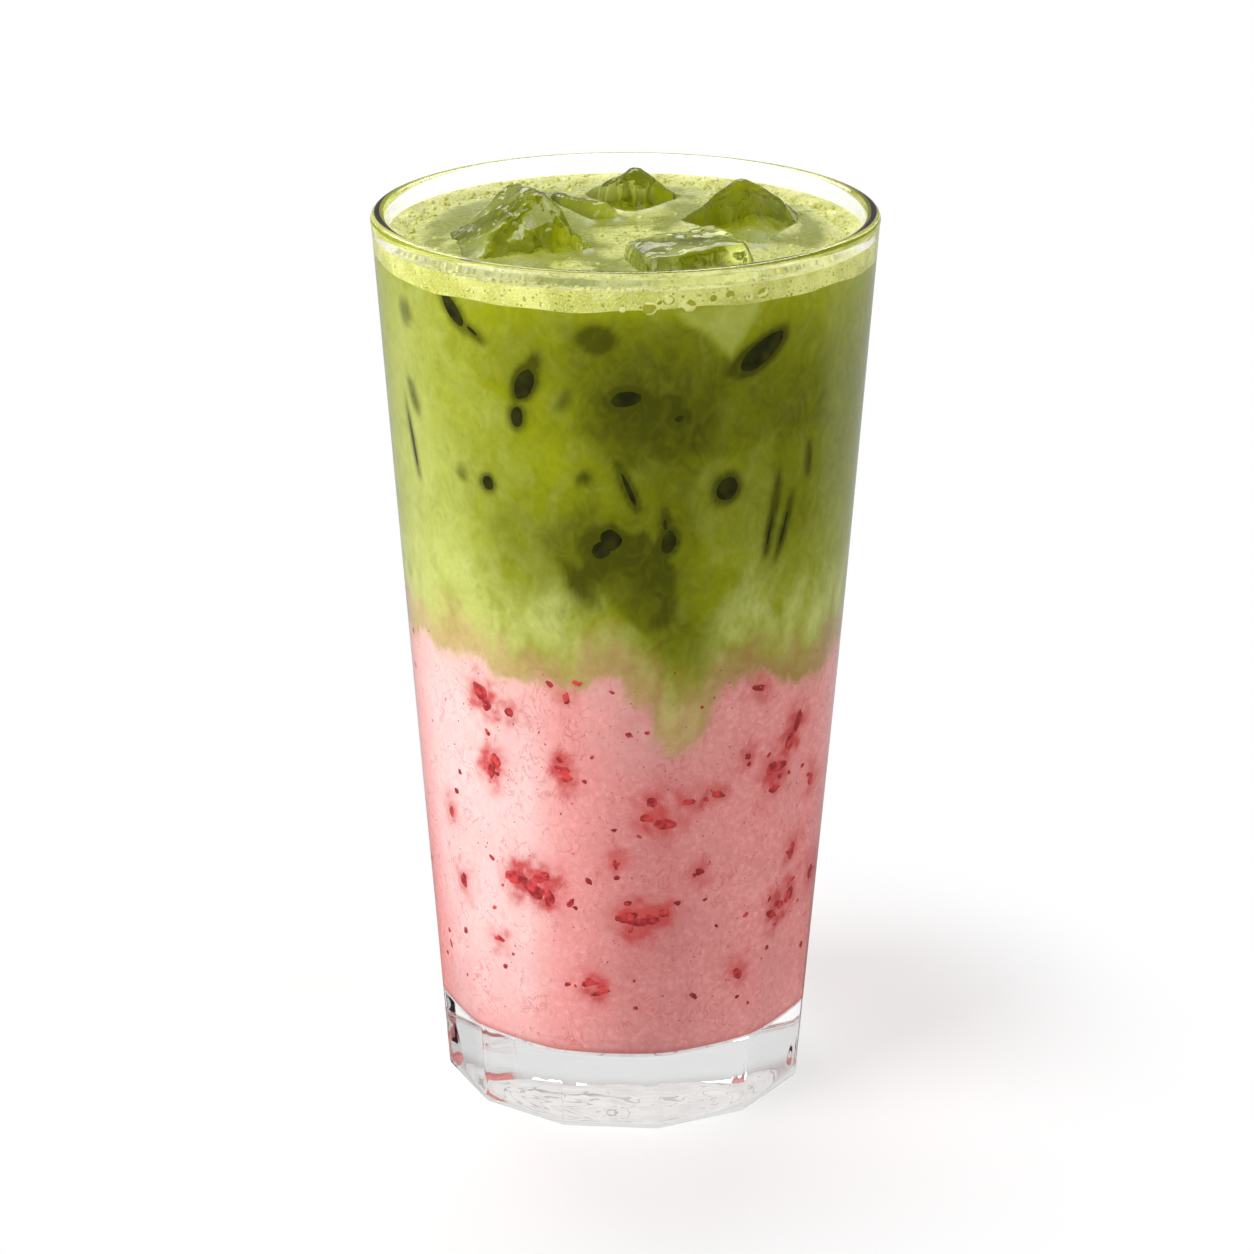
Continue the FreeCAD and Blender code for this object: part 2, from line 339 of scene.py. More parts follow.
# %% [markdown]
# ## The glass itself
#
# One closed skin runs from the middle of the hollow under the foot, up the outside, over the
# rounded lip, down the inside and across the floor. The panels need many points near
# their edges and few in between, so each panel's bearings are spaced with a sine.

# %% Build the tumbler
LIP_ROUND = 1.2 * MM
FOOT_ROUND = 0.9 * MM
FLOOR_ROUND = 3.0 * MM
PUNT_RADIUS = 25.0 * MM
PUNT_DEPTH = 1.8 * MM
COLUMNS_PER_PANEL = 26

spread = (np.arange(COLUMNS_PER_PANEL) + 0.5) / COLUMNS_PER_PANEL * 2 - 1
spread = 0.35 * spread + 0.65 * np.sin(spread * np.pi / 2)
panel_step = 2 * np.pi / PANELS
bearings = np.concatenate(
    [PANEL_TURN + panel_step * (panel + spread / 2) for panel in range(PANELS)])


def outside_ring(height, inset=0.0):
    return around(outside_radius(height, bearings) - inset, bearings, height)


def round_ring(radius, height):
    return around(radius, bearings, height)


rings = []
for share in np.linspace(0.04, 1, 8):
    rings.append(round_ring(PUNT_RADIUS * share, PUNT_DEPTH * (1 - share ** 2)))
for turn in np.linspace(0, np.pi / 2, 6):
    inset = FOOT_ROUND * (1 - math.sin(turn))
    rings.append(outside_ring(FOOT_ROUND * (1 - math.cos(turn)), inset))
for height in np.linspace(2 * MM, glass_height - 2 * MM, 100):
    rings.append(outside_ring(height))
for edge, side, first, second in ((cone_radius, -1, math.cos, math.sin),
                                  (wall_radius, 1, math.sin, math.cos)):
    for turn in np.linspace(0, np.pi / 2, 7):
        rings.append(round_ring(edge(glass_height) + side * LIP_ROUND * (1 - first(turn)),
                                glass_height - LIP_ROUND * (1 - second(turn))))
for height in np.linspace(glass_height - 2 * MM, FLOOR_THICKNESS + FLOOR_ROUND, 70):
    rings.append(round_ring(wall_radius(height), height))
for turn in np.linspace(0.1, np.pi / 2, 8):
    rings.append(round_ring(
        wall_radius(FLOOR_THICKNESS) - FLOOR_ROUND * (1 - math.cos(turn)),
        FLOOR_THICKNESS + FLOOR_ROUND * (1 - math.sin(turn))))
for share in np.linspace(0.85, 0.05, 8):
    rings.append(round_ring(
        (wall_radius(FLOOR_THICKNESS) - FLOOR_ROUND) * share, FLOOR_THICKNESS))
points, faces = capped_rings(
    np.array(rings), (0, 0, PUNT_DEPTH), (0, 0, FLOOR_THICKNESS))
tumbler = object_from("tumbler", points, faces)
print("tumbler", len(tumbler.data.polygons), "faces")

# %% [markdown]
# ## Clear glass and clear ice
#
# Both are clear, so one function makes both. The Principled shader with full transmission
# bends light by its IOR: 1.5 for glass and 1.31 for ice. Cycles finds it hard to send lamp light
# through bent glass, so for shadow rays the surface is simply see-through: the drink inside is
# then lit as brightly as in life. Glass that was pressed in a mould is never quite true: a
# faint, broad bump makes its reflections swim a little.

# %% Make the clear materials
def clear_material(name, ior, tint, ripple_size, ripple_depth, grain_size, grain_depth):
    material, tree = new_material(name)
    place = add(tree, "TexCoord").outputs["Object"]
    ripple = add(tree, "TexNoise", Vector=place, Scale=1 / ripple_size, Detail=2.0)
    grain = add(tree, "TexNoise", Vector=place, Scale=1 / grain_size, Detail=4.0)
    broad = add(tree, "Bump", Strength=1.0, Distance=ripple_depth, Height=ripple.outputs["Fac"])
    fine = add(tree, "Bump", Strength=1.0, Distance=grain_depth, Height=grain.outputs["Fac"],
               Normal=broad.outputs[0])
    body = add(tree, "BsdfPrincipled", Base_Color=tint, Roughness=0.0, IOR=ior,
               Transmission_Weight=1.0, Normal=fine.outputs[0])
    open_way = add(tree, "BsdfTransparent", Color=tint)
    shadow = add(tree, "LightPath").outputs["Is Shadow Ray"]
    choice = switch(tree, shadow, body.outputs[0], open_way.outputs[0])
    add(tree, "OutputMaterial", Surface=choice)
    return material


glass_material = clear_material(
    "clear_glass", 1.5, (0.985, 0.99, 0.985), 22 * MM, 0.10 * MM, 1.2 * MM, 0.0005 * MM)
ice_material = clear_material(
    "clear_ice", 1.31, (0.97, 0.985, 0.96), 5.0 * MM, 0.45 * MM, 0.9 * MM, 0.03 * MM)
tumbler.data.materials.append(glass_material)
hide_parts("glass_tumbler")
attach(tumbler, "root")

# %% [markdown]
# ## Where pink meets green
#
# The two milks mix where they meet. The boundary rises and falls in gentle waves, and green runs
# down the wall into the pink in a few places, one of them deep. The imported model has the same
# boundary, so the same formula gives it here. It is worked out for many points at once.

# %% Describe the boundary between the two milks
BOUNDARY_HEIGHT = 91.0 * MM
BOUNDARY_WAVE = 1.6 * MM
TONGUE_DEPTH = 17.0 * MM
TONGUE_WIDTH = 5.0 * MM
TONGUES = (
    # bearing in degrees, share of the depth, share of the width
    (14.0, 1.00, 1.0),
    (-28.0, 0.22, 1.6),
    (55.0, 0.16, 1.4),
    (115.0, 0.45, 1.1),
    (190.0, 0.30, 1.5),
    (260.0, 0.55, 1.2),
)


def boundary(x, y):
    height = BOUNDARY_HEIGHT + BOUNDARY_WAVE * (
        np.sin(x / (11 * MM) + 0.6) * np.cos(y / (13 * MM))
        + 0.5 * np.sin((x + y) / (6.5 * MM)))
    wall = wall_radius(BOUNDARY_HEIGHT)
    for bearing, depth, width in TONGUES:
        turn = math.radians(bearing)
        far = np.hypot(x - wall * math.sin(turn), y + wall * math.cos(turn))
        height = height - TONGUE_DEPTH * depth * np.exp(-(far / (TONGUE_WIDTH * width)) ** 2)
    return height


# %% [markdown]
# ## How the drink varies
#
# Milk poured over ice never mixes evenly. Four numbers between 0 and 1 say what the drink is like
# at each point: how green it is; how pale, which is more milk and also painted light where the key
# lamp falls on the left and where the glass panels gather light; how dark, which is mostly painted
# shade where ice lies close behind the milk and down the middle of the pink; and how much berry
# has stained it, which also carries a painted shade along the foot. They are stored on the mesh as
# attributes, and the material turns them into colour. Soft patches of pale or dark are given by
# bearing, height and size, and warped noise makes the wisps and streaks between them.

# %% Describe the drink's unevenness
def smooth_step(value, low, high):
    share = np.clip((value - low) / (high - low), 0, 1)
    return share * share * (3 - 2 * share)


def noise_at(points, size, octaves=3, seed=0):
    """Soft noise, about -1 to 1, at points, with features of about a given size."""
    shift = Vector((seed * 17.3, seed * 5.1, seed * 29.7))
    return np.array([
        noise.fractal(Vector(point) / size + shift, 0.9, 2.0, octaves, noise_basis="PERLIN_ORIGINAL")
        for point in points])


def soft_patch(bearing, height, middle, level, half_width, half_height, tilt=0.0):
    """1 at a patch's middle, falling softly to 0. Angles in degrees, lengths in mm."""
    across = (np.degrees(bearing) - middle + 180) % 360 - 180
    across = across * math.radians(1) * wall_radius(level * MM) / MM
    up = height / MM - level
    lean = math.radians(tilt)
    along = across * math.cos(lean) + up * math.sin(lean)
    beside = -across * math.sin(lean) + up * math.cos(lean)
    return np.exp(-((along / half_width) ** 2 + (beside / half_height) ** 2))


# bearing, height in mm, half width, half height in mm, lean in degrees, strength
# painted shade where ice lies close behind the milk
SHADE_PATCHES = (
    (2, 140, 17, 9, -6, 0.40), (8, 131, 15, 8, -14, 0.32), (24, 121, 12, 12, 0, 0.22),
    (38, 134, 12, 12, 0, 0.32), (-4, 110, 9, 7, -20, 0.35), (-14, 103, 6, 6, 55, 0.25),
    (9, 101, 8, 11, 8, 0.42), (16, 92, 6, 7, 20, 0.40), (58, 128, 14, 18, 0, 0.30),
    (40, 112, 12, 12, 0, 0.30), (-22, 133, 4, 8, 62, 0.12), (3, 121, 11, 9, 10, 0.34),
    (-28, 110, 7, 12, 0, 0.38), (-28, 143, 9, 6, 0, 0.20), (14, 114, 6, 8, 0, 0.20),
    (80, 125, 14, 22, 0, 0.20), (120, 138, 14, 9, 10, 0.45), (150, 122, 12, 10, -20, 0.40),
    (185, 135, 16, 8, 5, 0.50), (205, 112, 10, 9, 30, 0.35), (235, 128, 12, 12, -15, 0.30),
    (262, 140, 10, 7, 0, 0.20), (135, 104, 9, 8, 15, 0.35), (175, 99, 8, 9, -10, 0.30),
)
# paler milk, and painted light on the left where the key lamp falls
PALE_AND_LIT_PATCHES = (
    (-60, 125, 14, 34, 0, 0.50), (-45, 106, 8, 12, 0, 0.25), (-24, 117, 7, 12, 0, 0.05),
    (-46, 72, 11, 20, 0, 0.80), (-46, 40, 11, 24, 0, 0.80), (-66, 60, 9, 50, 0, 0.60),
    (-32, 55, 8, 32, 0, 0.62), (-8, 84, 8, 5, 0, 0.30), (5, 74, 6, 7, 80, 0.35),
    (110, 118, 10, 12, 0, 0.30), (160, 110, 9, 10, 0, 0.25), (215, 140, 12, 8, 0, 0.30),
    (250, 110, 12, 14, 0, 0.30), (150, 50, 16, 24, 0, 0.35), (225, 55, 16, 24, 0, 0.45),
)
# painted shade down the middle of the pink, where the key lamp's light falls off
PINK_SHADES = ((9, 40, 8, 55, 0, 0.26), (-4, 40, 5, 50, 0, 0.05))
# Painted shade and painted light for flat faces of ice close behind the milk: outline as bearing and
# height, softness in mm, and how much darker and paler the milk over them is painted.
ICE_FACE_SHADES = (
    (((-14, 150), (20, 150.5), (28, 142.5), (19, 127), (2, 124.5), (-12, 131)), 2.4, 0.30, -0.1),
    (((11, 151.5), (31.5, 151), (25.6, 142.6)), 1.3, -0.85, 0.42),
    (((14.5, 118), (19, 124.6), (27, 126.0), (38, 127), (40, 110), (33, 103), (21, 106.5)),
     0.9, -0.16, 0.16),
    (((-9, 112.5), (5, 113.5), (13.5, 106), (13, 97), (5, 94.5), (-2, 97.5), (-11, 104.5)),
     0.9, 0.38, -0.2),
    (((27, 141), (46, 147), (58, 140), (56, 112), (40, 127), (21, 127)), 1.4, 0.10, 0.0),
    (((-22, 112), (-10, 118), (-2, 112), (-11, 98), (-15, 102)), 2.0, 0.30, 0.0),
    (((100, 150), (135, 150), (128, 132), (110, 130)), 3.0, 0.26, 0.0),
    (((150, 146), (178, 138), (172, 118), (146, 124)), 3.2, 0.24, 0.0),
    (((195, 150), (226, 149), (214, 134)), 2.0, -0.30, 0.3),
    (((200, 132), (232, 136), (238, 114), (212, 108)), 3.4, 0.26, 0.0),
)


def patches_at(patches, bearing, height):
    total = np.zeros_like(height)
    for middle, level, half_width, half_height, tilt, strength in patches:
        total += strength * soft_patch(bearing, height, middle, level, half_width, half_height, tilt)
    return total


def face_at(outline, softness, bearing, height):
    """1 inside a convex outline, 0 outside it, with an edge of a given softness in mm."""
    scale = math.radians(1) * wall_radius(outline[0][1] * MM) / MM
    corners = np.array([(turn * scale, level) for turn, level in outline])
    middle = corners.mean(axis=0)
    across = (np.degrees(bearing) - middle[0] / scale + 180) % 360 - 180
    spot = np.stack([across * scale + middle[0], height / MM], -1)
    inside = np.full(len(spot), 1e3)
    for first, second in zip(corners, np.roll(corners, -1, axis=0)):
        edge = second - first
        normal = np.array([edge[1], -edge[0]]) / np.hypot(*edge)
        if (middle - first) @ normal < 0:
            normal = -normal
        inside = np.minimum(inside, (spot - first) @ normal)
    return smooth_step(inside, -softness, softness)


TONGUE_TIP = 6 * MM         # how much further down the longest tongue tints the pink
SIDE_TINT = 5 * MM          # and how much further down the tea reaches on the right
SIDE_BEARING = 66           # the bearing of that reach, in degrees
MIXING = 9 * MM             # how far from the boundary one milk has wholly become the other
TONGUE_MIXING = 15 * MM     # how much further that takes in the longest tongue
WANDER = 3.0 * MM           # how far noise moves the boundary
BLUR = np.radians((-7.5, -5, -2.5, 0, 2.5, 5, 7.5))


def drink_at(points):
    """green, pale (milk and painted light) and dark (mostly painted shade) at points in the drink, 0 to
    1.
    """
    x, y, height = points.T
    bearing, radius = np.arctan2(x, -y), np.hypot(x, y)
    degrees = np.degrees(bearing)
    swirl = noise_at(points, 14 * MM, 3, 1)
    squashed = points * np.array([1, 1, 0.45])
    wisps = noise_at(squashed + swirl[:, None] * 2.5 * MM, 5.0 * MM, 4, 2)
    level = np.mean([boundary(*around(radius, bearing + turn, height).T[:2]) for turn in BLUR], axis=0)
    off_tongue = degrees - TONGUES[0][0] - 2
    level = level - TONGUE_TIP * np.exp(-(off_tongue / 6.5) ** 4)
    level = level - SIDE_TINT * np.exp(-((degrees - SIDE_BEARING) / 15) ** 2)
    in_tongue = np.exp(-(off_tongue / 8) ** 2)
    above = height - level + (wisps + swirl) * WANDER
    green = smooth_step(above, -MIXING, MIXING + TONGUE_MIXING * in_tongue)
    broad = noise_at(points, 11 * MM, 3, 3)
    # paler milk, and the key lamp's painted light on the left
    pale = patches_at(PALE_AND_LIT_PATCHES, bearing, height)
    near_boundary = np.exp(-(((height - level) - 7 * MM) / (8 * MM)) ** 2)
    pale = pale + near_boundary * (0.45 + 0.75 * wisps) + 0.10 * broad
    in_tea = smooth_step(height - level, -4 * MM, 5 * MM)
    # painted shade where ice lies close behind the tea
    dark = patches_at(SHADE_PATCHES, bearing, height) * in_tea + 0.10 * broad
    # painted shade down the middle of the pink, where the light falls off
    dark = dark + patches_at(PINK_SHADES, bearing, height) * (1 - in_tea)
    bent = swirl * 1.2 * MM
    # painted shade and painted light where flat faces of ice lie behind the milk
    for outline, softness, darker, paler in ICE_FACE_SHADES:
        face = face_at(outline, softness, bearing + bent / radius.clip(MM), height + bent)
        dark = np.clip(dark, 0, 1) + darker * face
        pale = np.clip(pale, 0, 1) + paler * face
    # painted light: low down, the milk is paler behind each panel's middle and darker behind its edges,
    # as the panels bend the light
    panel_light = 0.5 + 0.5 * np.cos(PANELS * (bearing - PANEL_TURN))
    pale = pale + 0.16 * (panel_light - 0.4) * smooth_step(height, PANEL_HEIGHT, PANEL_HEIGHT - 20 * MM)
    return green, np.clip(pale, 0, 1), np.clip(dark, 0, 1)


def store(piece, **values):
    """Keep one number for each point of a mesh under each name."""
    for name, value in values.items():
        attribute = piece.data.attributes.new(name, "FLOAT", "POINT")
        attribute.data.foreach_set("value", np.asarray(value, np.float32))


def mesh_points(piece):
    flat = np.zeros(len(piece.data.vertices) * 3, np.float32)
    piece.data.vertices.foreach_get("co", flat)
    return flat.reshape(-1, 3).astype(float)

# %% [markdown]
# ## The floating ice
#
# Ice blocks come out of the tray with flat faces and then melt: corners go first, and faces turn
# hollow and wavy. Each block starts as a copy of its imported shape. A voxel remesh gives it even
# small faces, and every point then moves in along its normal by soft noise, so
# the block stays inside the shape it was packed with. `Remesh` and `Smooth` are modifiers, and
# `new_from_object` reads the finished mesh.

# %% Melt the floating blocks
def finished_mesh(piece):
    bpy.context.view_layer.update()
    graph = bpy.context.evaluated_depsgraph_get()
    return bpy.data.meshes.new_from_object(piece.evaluated_get(graph))


def apply_modifiers(piece):
    mesh = finished_mesh(piece)
    piece.modifiers.clear()
    piece.data = mesh


def move_along_normals(piece, distances):
    normals = np.zeros(len(piece.data.vertices) * 3, np.float32)
    piece.data.vertices.foreach_get("normal", normals)
    points = mesh_points(piece) + normals.reshape(-1, 3) * np.asarray(distances)[:, None]
    piece.data.vertices.foreach_set("co", points.astype(np.float32).ravel())
    piece.data.update()


def melted_copy(node, seed, rounds, hollow, ripple):
    """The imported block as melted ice: broad hollows and a small ripple, both in metres."""
    piece = bpy.data.objects.new(node + "_melted", nodes[node].data.copy())
    scene.collection.objects.link(piece)
    piece.data.materials.clear()
    remesh = piece.modifiers.new("even", "REMESH")
    remesh.mode = "VOXEL"
    remesh.voxel_size = 0.55 * MM
    smooth = piece.modifiers.new("soft", "SMOOTH")
    smooth.factor = 0.5
    smooth.iterations = rounds
    apply_modifiers(piece)
    points = mesh_points(piece)
    broad = noise_at(points, 7.5 * MM, 2, seed)
    small = noise_at(points, 2.2 * MM, 3, seed + 1)
    inwards = hollow * smooth_step(broad, -0.5, 0.6) + ripple * smooth_step(small, -0.6, 0.6)
    move_along_normals(piece, -inwards)
    for polygon in piece.data.polygons:
        polygon.use_smooth = True
    piece.data.materials.append(ice_material)
    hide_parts(node)
    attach(piece, "root")
    return piece


MELT = {
    # node: seed, rounds of smoothing, depth of the broad hollows and of the ripple in mm
    "ice_front_left": (21, 10, 0.5, 0.40),
    "ice_back": (22, 24, 0.7, 0.14),
    "ice_right": (23, 20, 0.8, 0.14),
    "ice_front": (24, 10, 0.5, 0.32),
    "ice_middle": (25, 6, 0.2, 0.04),
}
floating = [melted_copy(node, seed, rounds, hollow * MM, ripple * MM)
            for node, (seed, rounds, hollow, ripple) in MELT.items()]
print("floating ice", sum(len(block.data.polygons) for block in floating), "faces")

# %% [markdown]
# ## The sunk ice
#
# More ice lies under the surface. Where a melted edge or corner presses against the glass, no milk
# gets between, and it shows as a small dark window: the lumps are opaque and painted nearly black,
# a painted shade for the dim drink seen through clear ice. Where it stops just short, painted shade
# makes the milk over it a little darker. Only these outer ends of the sunk blocks are ever seen, so
# each is a melted lump. A positive reach pushes it through the milk, and a negative one leaves it
# just behind.

# %% Make the sunk blocks
SUNK = (
    # bearing, height mm, half length and half width of the window mm, lean, reach mm
    (-43.6, 149.0, 3.1, 1.3, 38, 0.46), (-38.0, 145.9, 2.6, 0.7, 58, 0.10),
    (-24.3, 138.3, 2.6, 1.45, -22, 0.52), (-26.3, 132.4, 2.3, 1.35, -6, 0.30),
    (-21.8, 142.0, 1.8, 1.1, -28, -0.20), (-14.5, 136.2, 3.8, 1.3, -28, -0.42),
    (-6.5, 146.8, 1.9, 2.9, 5, -0.02), (0.2, 136.3, 1.15, 2.2, 8, 0.62),
    (6.6, 134.6, 1.3, 3.4, 14, 0.02), (12.8, 132.8, 0.8, 1.1, 10, 0.20),
    (33.6, 143.2, 4.4, 1.8, -55, 0.55), (25.4, 119.8, 2.1, 2.1, 0, 0.42),
    (-3.6, 111.8, 1.7, 1.7, 10, 0.60), (-6.6, 110.6, 3.0, 2.6, 25, 0.12),
    (-11.5, 103.8, 4.6, 1.8, 30, -0.34), (10.6, 111.2, 1.9, 1.2, -12, 0.50),
    (9.8, 114.8, 2.2, 0.6, 4, 0.10), (-35.6, 119.5, 1.2, 1.1, 15, 0.50),
    (-44.0, 120.4, 1.6, 1.2, 0, -0.25), (-62.0, 146.0, 2.5, 1.7, 15, -0.06),
    (-61.5, 131.6, 3.1, 1.2, 18, -0.06), (-10.0, 122.4, 1.5, 1.5, 0, -0.30),
    (-64.2, 124.6, 6.2, 0.45, 12, 0.30), (0.4, 121.2, 3.6, 0.55, 22, 0.30),
    (39.6, 115.5, 6.5, 0.5, -8, 0.05), (44.0, 112.0, 5.0, 0.45, -14, 0.10),
    (50.5, 122.5, 3.2, 0.5, 3, -0.05), (3.0, 145.0, 2.0, 3.5, 80, -0.80),
)
BACK_SUNK = 26              # more of them round the sides and back
MILK_BITE = 0.2 * MM        # how far the milk reaches into the glass wall, so no air shows
LUMP_SHARE = 1.6            # a lump is this much longer and wider than its window
LUMP_DEPTH = 2.2 * MM
LUMP_LEVEL = 4
SUNK_PROUD = 0.05 * MM      # how far a window stands out of the milk
SUNK_COVER = 1.6 * MM       # milk over the highest lump

ice_draw = np.random.default_rng(3)
sunk = list(SUNK)
for _ in range(BACK_SUNK):
    sunk.append((ice_draw.uniform(78, 278), ice_draw.uniform(104, 148), ice_draw.uniform(1.2, 4.6),
                 ice_draw.uniform(0.6, 2.2), ice_draw.uniform(-60, 60), ice_draw.uniform(-0.4, 0.6)))


def flush(place, proud):
    """Bring a point back to the wall of glass, if it is further out than proud metres past it."""
    radius = math.hypot(place.x, place.y)
    most = wall_radius(place.z) + MILK_BITE + proud
    if radius > most:
        place.x *= most / radius
        place.y *= most / radius
    return place


def ball(level, radius=1.0):
    """A sphere, and its points as an array."""
    form = bmesh.new()
    bmesh.ops.create_icosphere(form, subdivisions=level, radius=radius)
    return form, np.array([vertex.co for vertex in form.verts])


def press(form, shares, bearing, place, size, lean, bend, proud, top=math.inf):
    """Turn a ball into a lump that is pressed against the wall.

    Each point moves out by its share. The place is a distance from the axis and a height. The lump
    bends round a radius, stays below the top, and stands out of the wall by proud at most.
    """
    turn = math.radians(bearing)
    outward = Vector((math.sin(turn), -math.cos(turn), 0))
    to_wall = Matrix((outward, (math.cos(turn), math.sin(turn), 0), (0, 0, 1))).transposed()
    tilt = Matrix.Rotation(math.radians(lean), 3, "X")
    centre = outward * place[0]
    centre.z = place[1]
    for vertex, share in zip(form.verts, shares):
        local = tilt @ (vertex.co * Vector(size) * share)
        local.x -= local.y ** 2 / (2 * bend)
        spot = centre + to_wall @ local
        spot.z = min(spot.z, top)
        vertex.co = flush(spot, proud)
    return form


def sunk_lump(bearing, height, half_length, half_width, lean, reach, seed):
    """A melted lump whose side shows through the milk in a window of about the given size."""
    form, points = ball(LUMP_LEVEL)
    melt = 1 + 0.10 * noise_at(points, 1.1, 2, seed)
    wall = wall_radius(height * MM)
    place = (wall + MILK_BITE + reach * MM - LUMP_DEPTH, height * MM)
    size = (LUMP_DEPTH, LUMP_SHARE * half_width * MM, LUMP_SHARE * half_length * MM)
    return press(form, melt, bearing, place, size, lean, wall, SUNK_PROUD, drink_level - SUNK_COVER)


def joined_forms(name, forms, material):
    """One object from many bmeshes."""
    mesh = bpy.data.meshes.new(name)
    whole = bmesh.new()
    for form in forms:
        form.to_mesh(mesh)
        whole.from_mesh(mesh)
        form.free()
    for face in whole.faces:
        face.smooth = True
    whole.to_mesh(mesh)
    whole.free()
    mesh.materials.append(material)
    piece = bpy.data.objects.new(name, mesh)
    scene.collection.objects.link(piece)
    return piece


def sunk_material():
    material, tree = new_material("sunk_ice")
    place = add(tree, "TexCoord").outputs["Object"]
    cloud = add(tree, "TexNoise", Vector=place, Scale=1 / (2.4 * MM), Detail=3.0)
    ramp = add(tree, "ValToRGB", Fac=cloud.outputs["Fac"])
    # painted shade: the lumps are opaque and nearly black olive, for the dim drink seen through clear
    # ice
    shade_ends = ((0.35, (0.014, 0.014, 0.0008, 1)), (0.75, (0.042, 0.043, 0.003, 1)))
    for element, (position, colour) in zip(ramp.color_ramp.elements, shade_ends):
        element.position = position
        element.color = colour
    body = add(tree, "BsdfPrincipled", Base_Color=ramp.outputs["Color"], Roughness=0.35,
               Specular_IOR_Level=0.0)
    add(tree, "OutputMaterial", Surface=body.outputs[0])
    return material


forms = [sunk_lump(*row, 40 + number) for number, row in enumerate(sunk)]
sunk_ice = joined_forms("sunk_ice", forms, sunk_material())
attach(sunk_ice, "root")
print("sunk ice", len(sunk), "lumps,", len(sunk_ice.data.polygons), "faces")

# %% [markdown]
# ## The milk
#
# Both milks are built as rings: a skin against the glass, and a surface across it. They reach
# a fifth of a millimetre into the glass wall, because a gap of air between drink and glass would
# show as a silvery layer. Pink and green share the boundary surface point for point, so nothing
# shows between them. The green surface sinks a few millimetres under each floating block, just
# inside the ice, and creeps up a little round it, as water does.

# %% Build the two milks
MILK_COLUMNS = 400
turns = np.linspace(0, 2 * np.pi, MILK_COLUMNS, endpoint=False)


def milk_ring(radius, height):
    return around(radius, turns, height)


def boundary_cap(steps):
    """Rings across the boundary surface, from the wall inwards."""
    rings = []
    edge_x = wall_radius(BOUNDARY_HEIGHT) * np.sin(turns)
    edge_y = -wall_radius(BOUNDARY_HEIGHT) * np.cos(turns)
    edge = boundary(edge_x, edge_y)
    for share in np.linspace(0.97, 0.03, steps):
        radius = (wall_radius(edge) + MILK_BITE) * share
        x, y = radius * np.sin(turns), -radius * np.cos(turns)
        rings.append(np.stack([x, y, boundary(x, y)], -1))
    return edge, rings


edge_height, cap = boundary_cap(24)
centre_height = float(boundary(np.array([0.0]), np.array([0.0]))[0])

rings = []
milk_floor = FLOOR_THICKNESS - MILK_BITE
for share in np.linspace(0.08, 0.94, 14):
    rings.append(milk_ring((wall_radius(milk_floor) - FLOOR_ROUND) * share, milk_floor))
for turn in np.linspace(0, np.pi / 2, 10):
    rings.append(milk_ring(
        wall_radius(milk_floor) - FLOOR_ROUND * (1 - math.sin(turn)) + MILK_BITE,
        milk_floor + FLOOR_ROUND * (1 - math.cos(turn))))
low = milk_floor + FLOOR_ROUND
for share in np.linspace(0, 1, 140)[1:]:
    height = low + (edge_height - low) * share
    rings.append(milk_ring(wall_radius(height) + MILK_BITE, height))
rings += cap
points, faces = capped_rings(np.array(rings), (0, 0, milk_floor), (0, 0, centre_height))
pink_milk = object_from("pink_milk", points, faces)


def search_tree(piece):
    """A tree that finds a piece's nearest faces quickly."""
    return bvhtree.BVHTree.FromPolygons([vertex.co.copy() for vertex in piece.data.vertices],
                                        [polygon.vertices[:] for polygon in piece.data.polygons])


inset_ice = []
for block in floating:
    shrunk = bpy.data.objects.new("shrunk", block.data.copy())
    move_along_normals(shrunk, np.full(len(shrunk.data.vertices), -0.25 * MM))
    inset_ice.append(search_tree(shrunk))
    bpy.data.objects.remove(shrunk)
whole_ice = [search_tree(block) for block in floating]

CREEP = 0.45 * MM           # how far the milk creeps up the ice and the glass
CREEP_REACH = 1.0 * MM
DEEP = 45 * MM
POCKET_DEPTH = 3.2 * MM     # how far down the milk can be seen through the ice


def surface_height(x, y):
    """Height of the milk's surface: level, up a little at ice and glass, down under the ice."""
    lowest = None
    for tree in inset_ice:
        above = tree.ray_cast(Vector((x, y, drink_level + DEEP)), Vector((0, 0, -1)), DEEP)
        if above[0] is None:
            continue
        below = tree.ray_cast(Vector((x, y, drink_level - DEEP)), Vector((0, 0, 1)), 2 * DEEP)
        if lowest is None or below[0].z < lowest:
            lowest = below[0].z
    if lowest is not None:
        return min(max(lowest, drink_level - POCKET_DEPTH), drink_level)
    here = Vector((x, y, drink_level))
    near = min(tree.find_nearest(here)[3] for tree in whole_ice)
    to_wall = wall_radius(drink_level) - math.hypot(x, y)
    return drink_level + CREEP * (
        math.exp(-near / CREEP_REACH) + 0.8 * math.exp(-max(to_wall, 0) / CREEP_REACH))


rings = []
wall_rows = 112
top = np.full(MILK_COLUMNS, drink_level + CREEP * 0.8)
for share in np.linspace(0, 1, wall_rows):
    height = edge_height + (top - edge_height) * share
    rings.append(milk_ring(wall_radius(height) + MILK_BITE, height))
surface_radii = np.concatenate([
    np.linspace(wall_radius(drink_level) - 0.02 * MM, 2.0 * MM, 92), [1.2 * MM, 0.5 * MM]])
for radius in surface_radii:
    x, y = radius * np.sin(turns), -radius * np.cos(turns)
    height = [surface_height(a, b) for a, b in zip(x, y)]
    rings.append(np.stack([x, y, np.array(height)], -1))
rings = cap[::-1] + rings
points, faces = capped_rings(
    np.array(rings), (0, 0, centre_height), (0, 0, surface_height(0, 0)))
green_milk = object_from("green_milk", points, faces)
print("pink milk", len(pink_milk.data.polygons), "faces, green milk",
      len(green_milk.data.polygons), "faces")
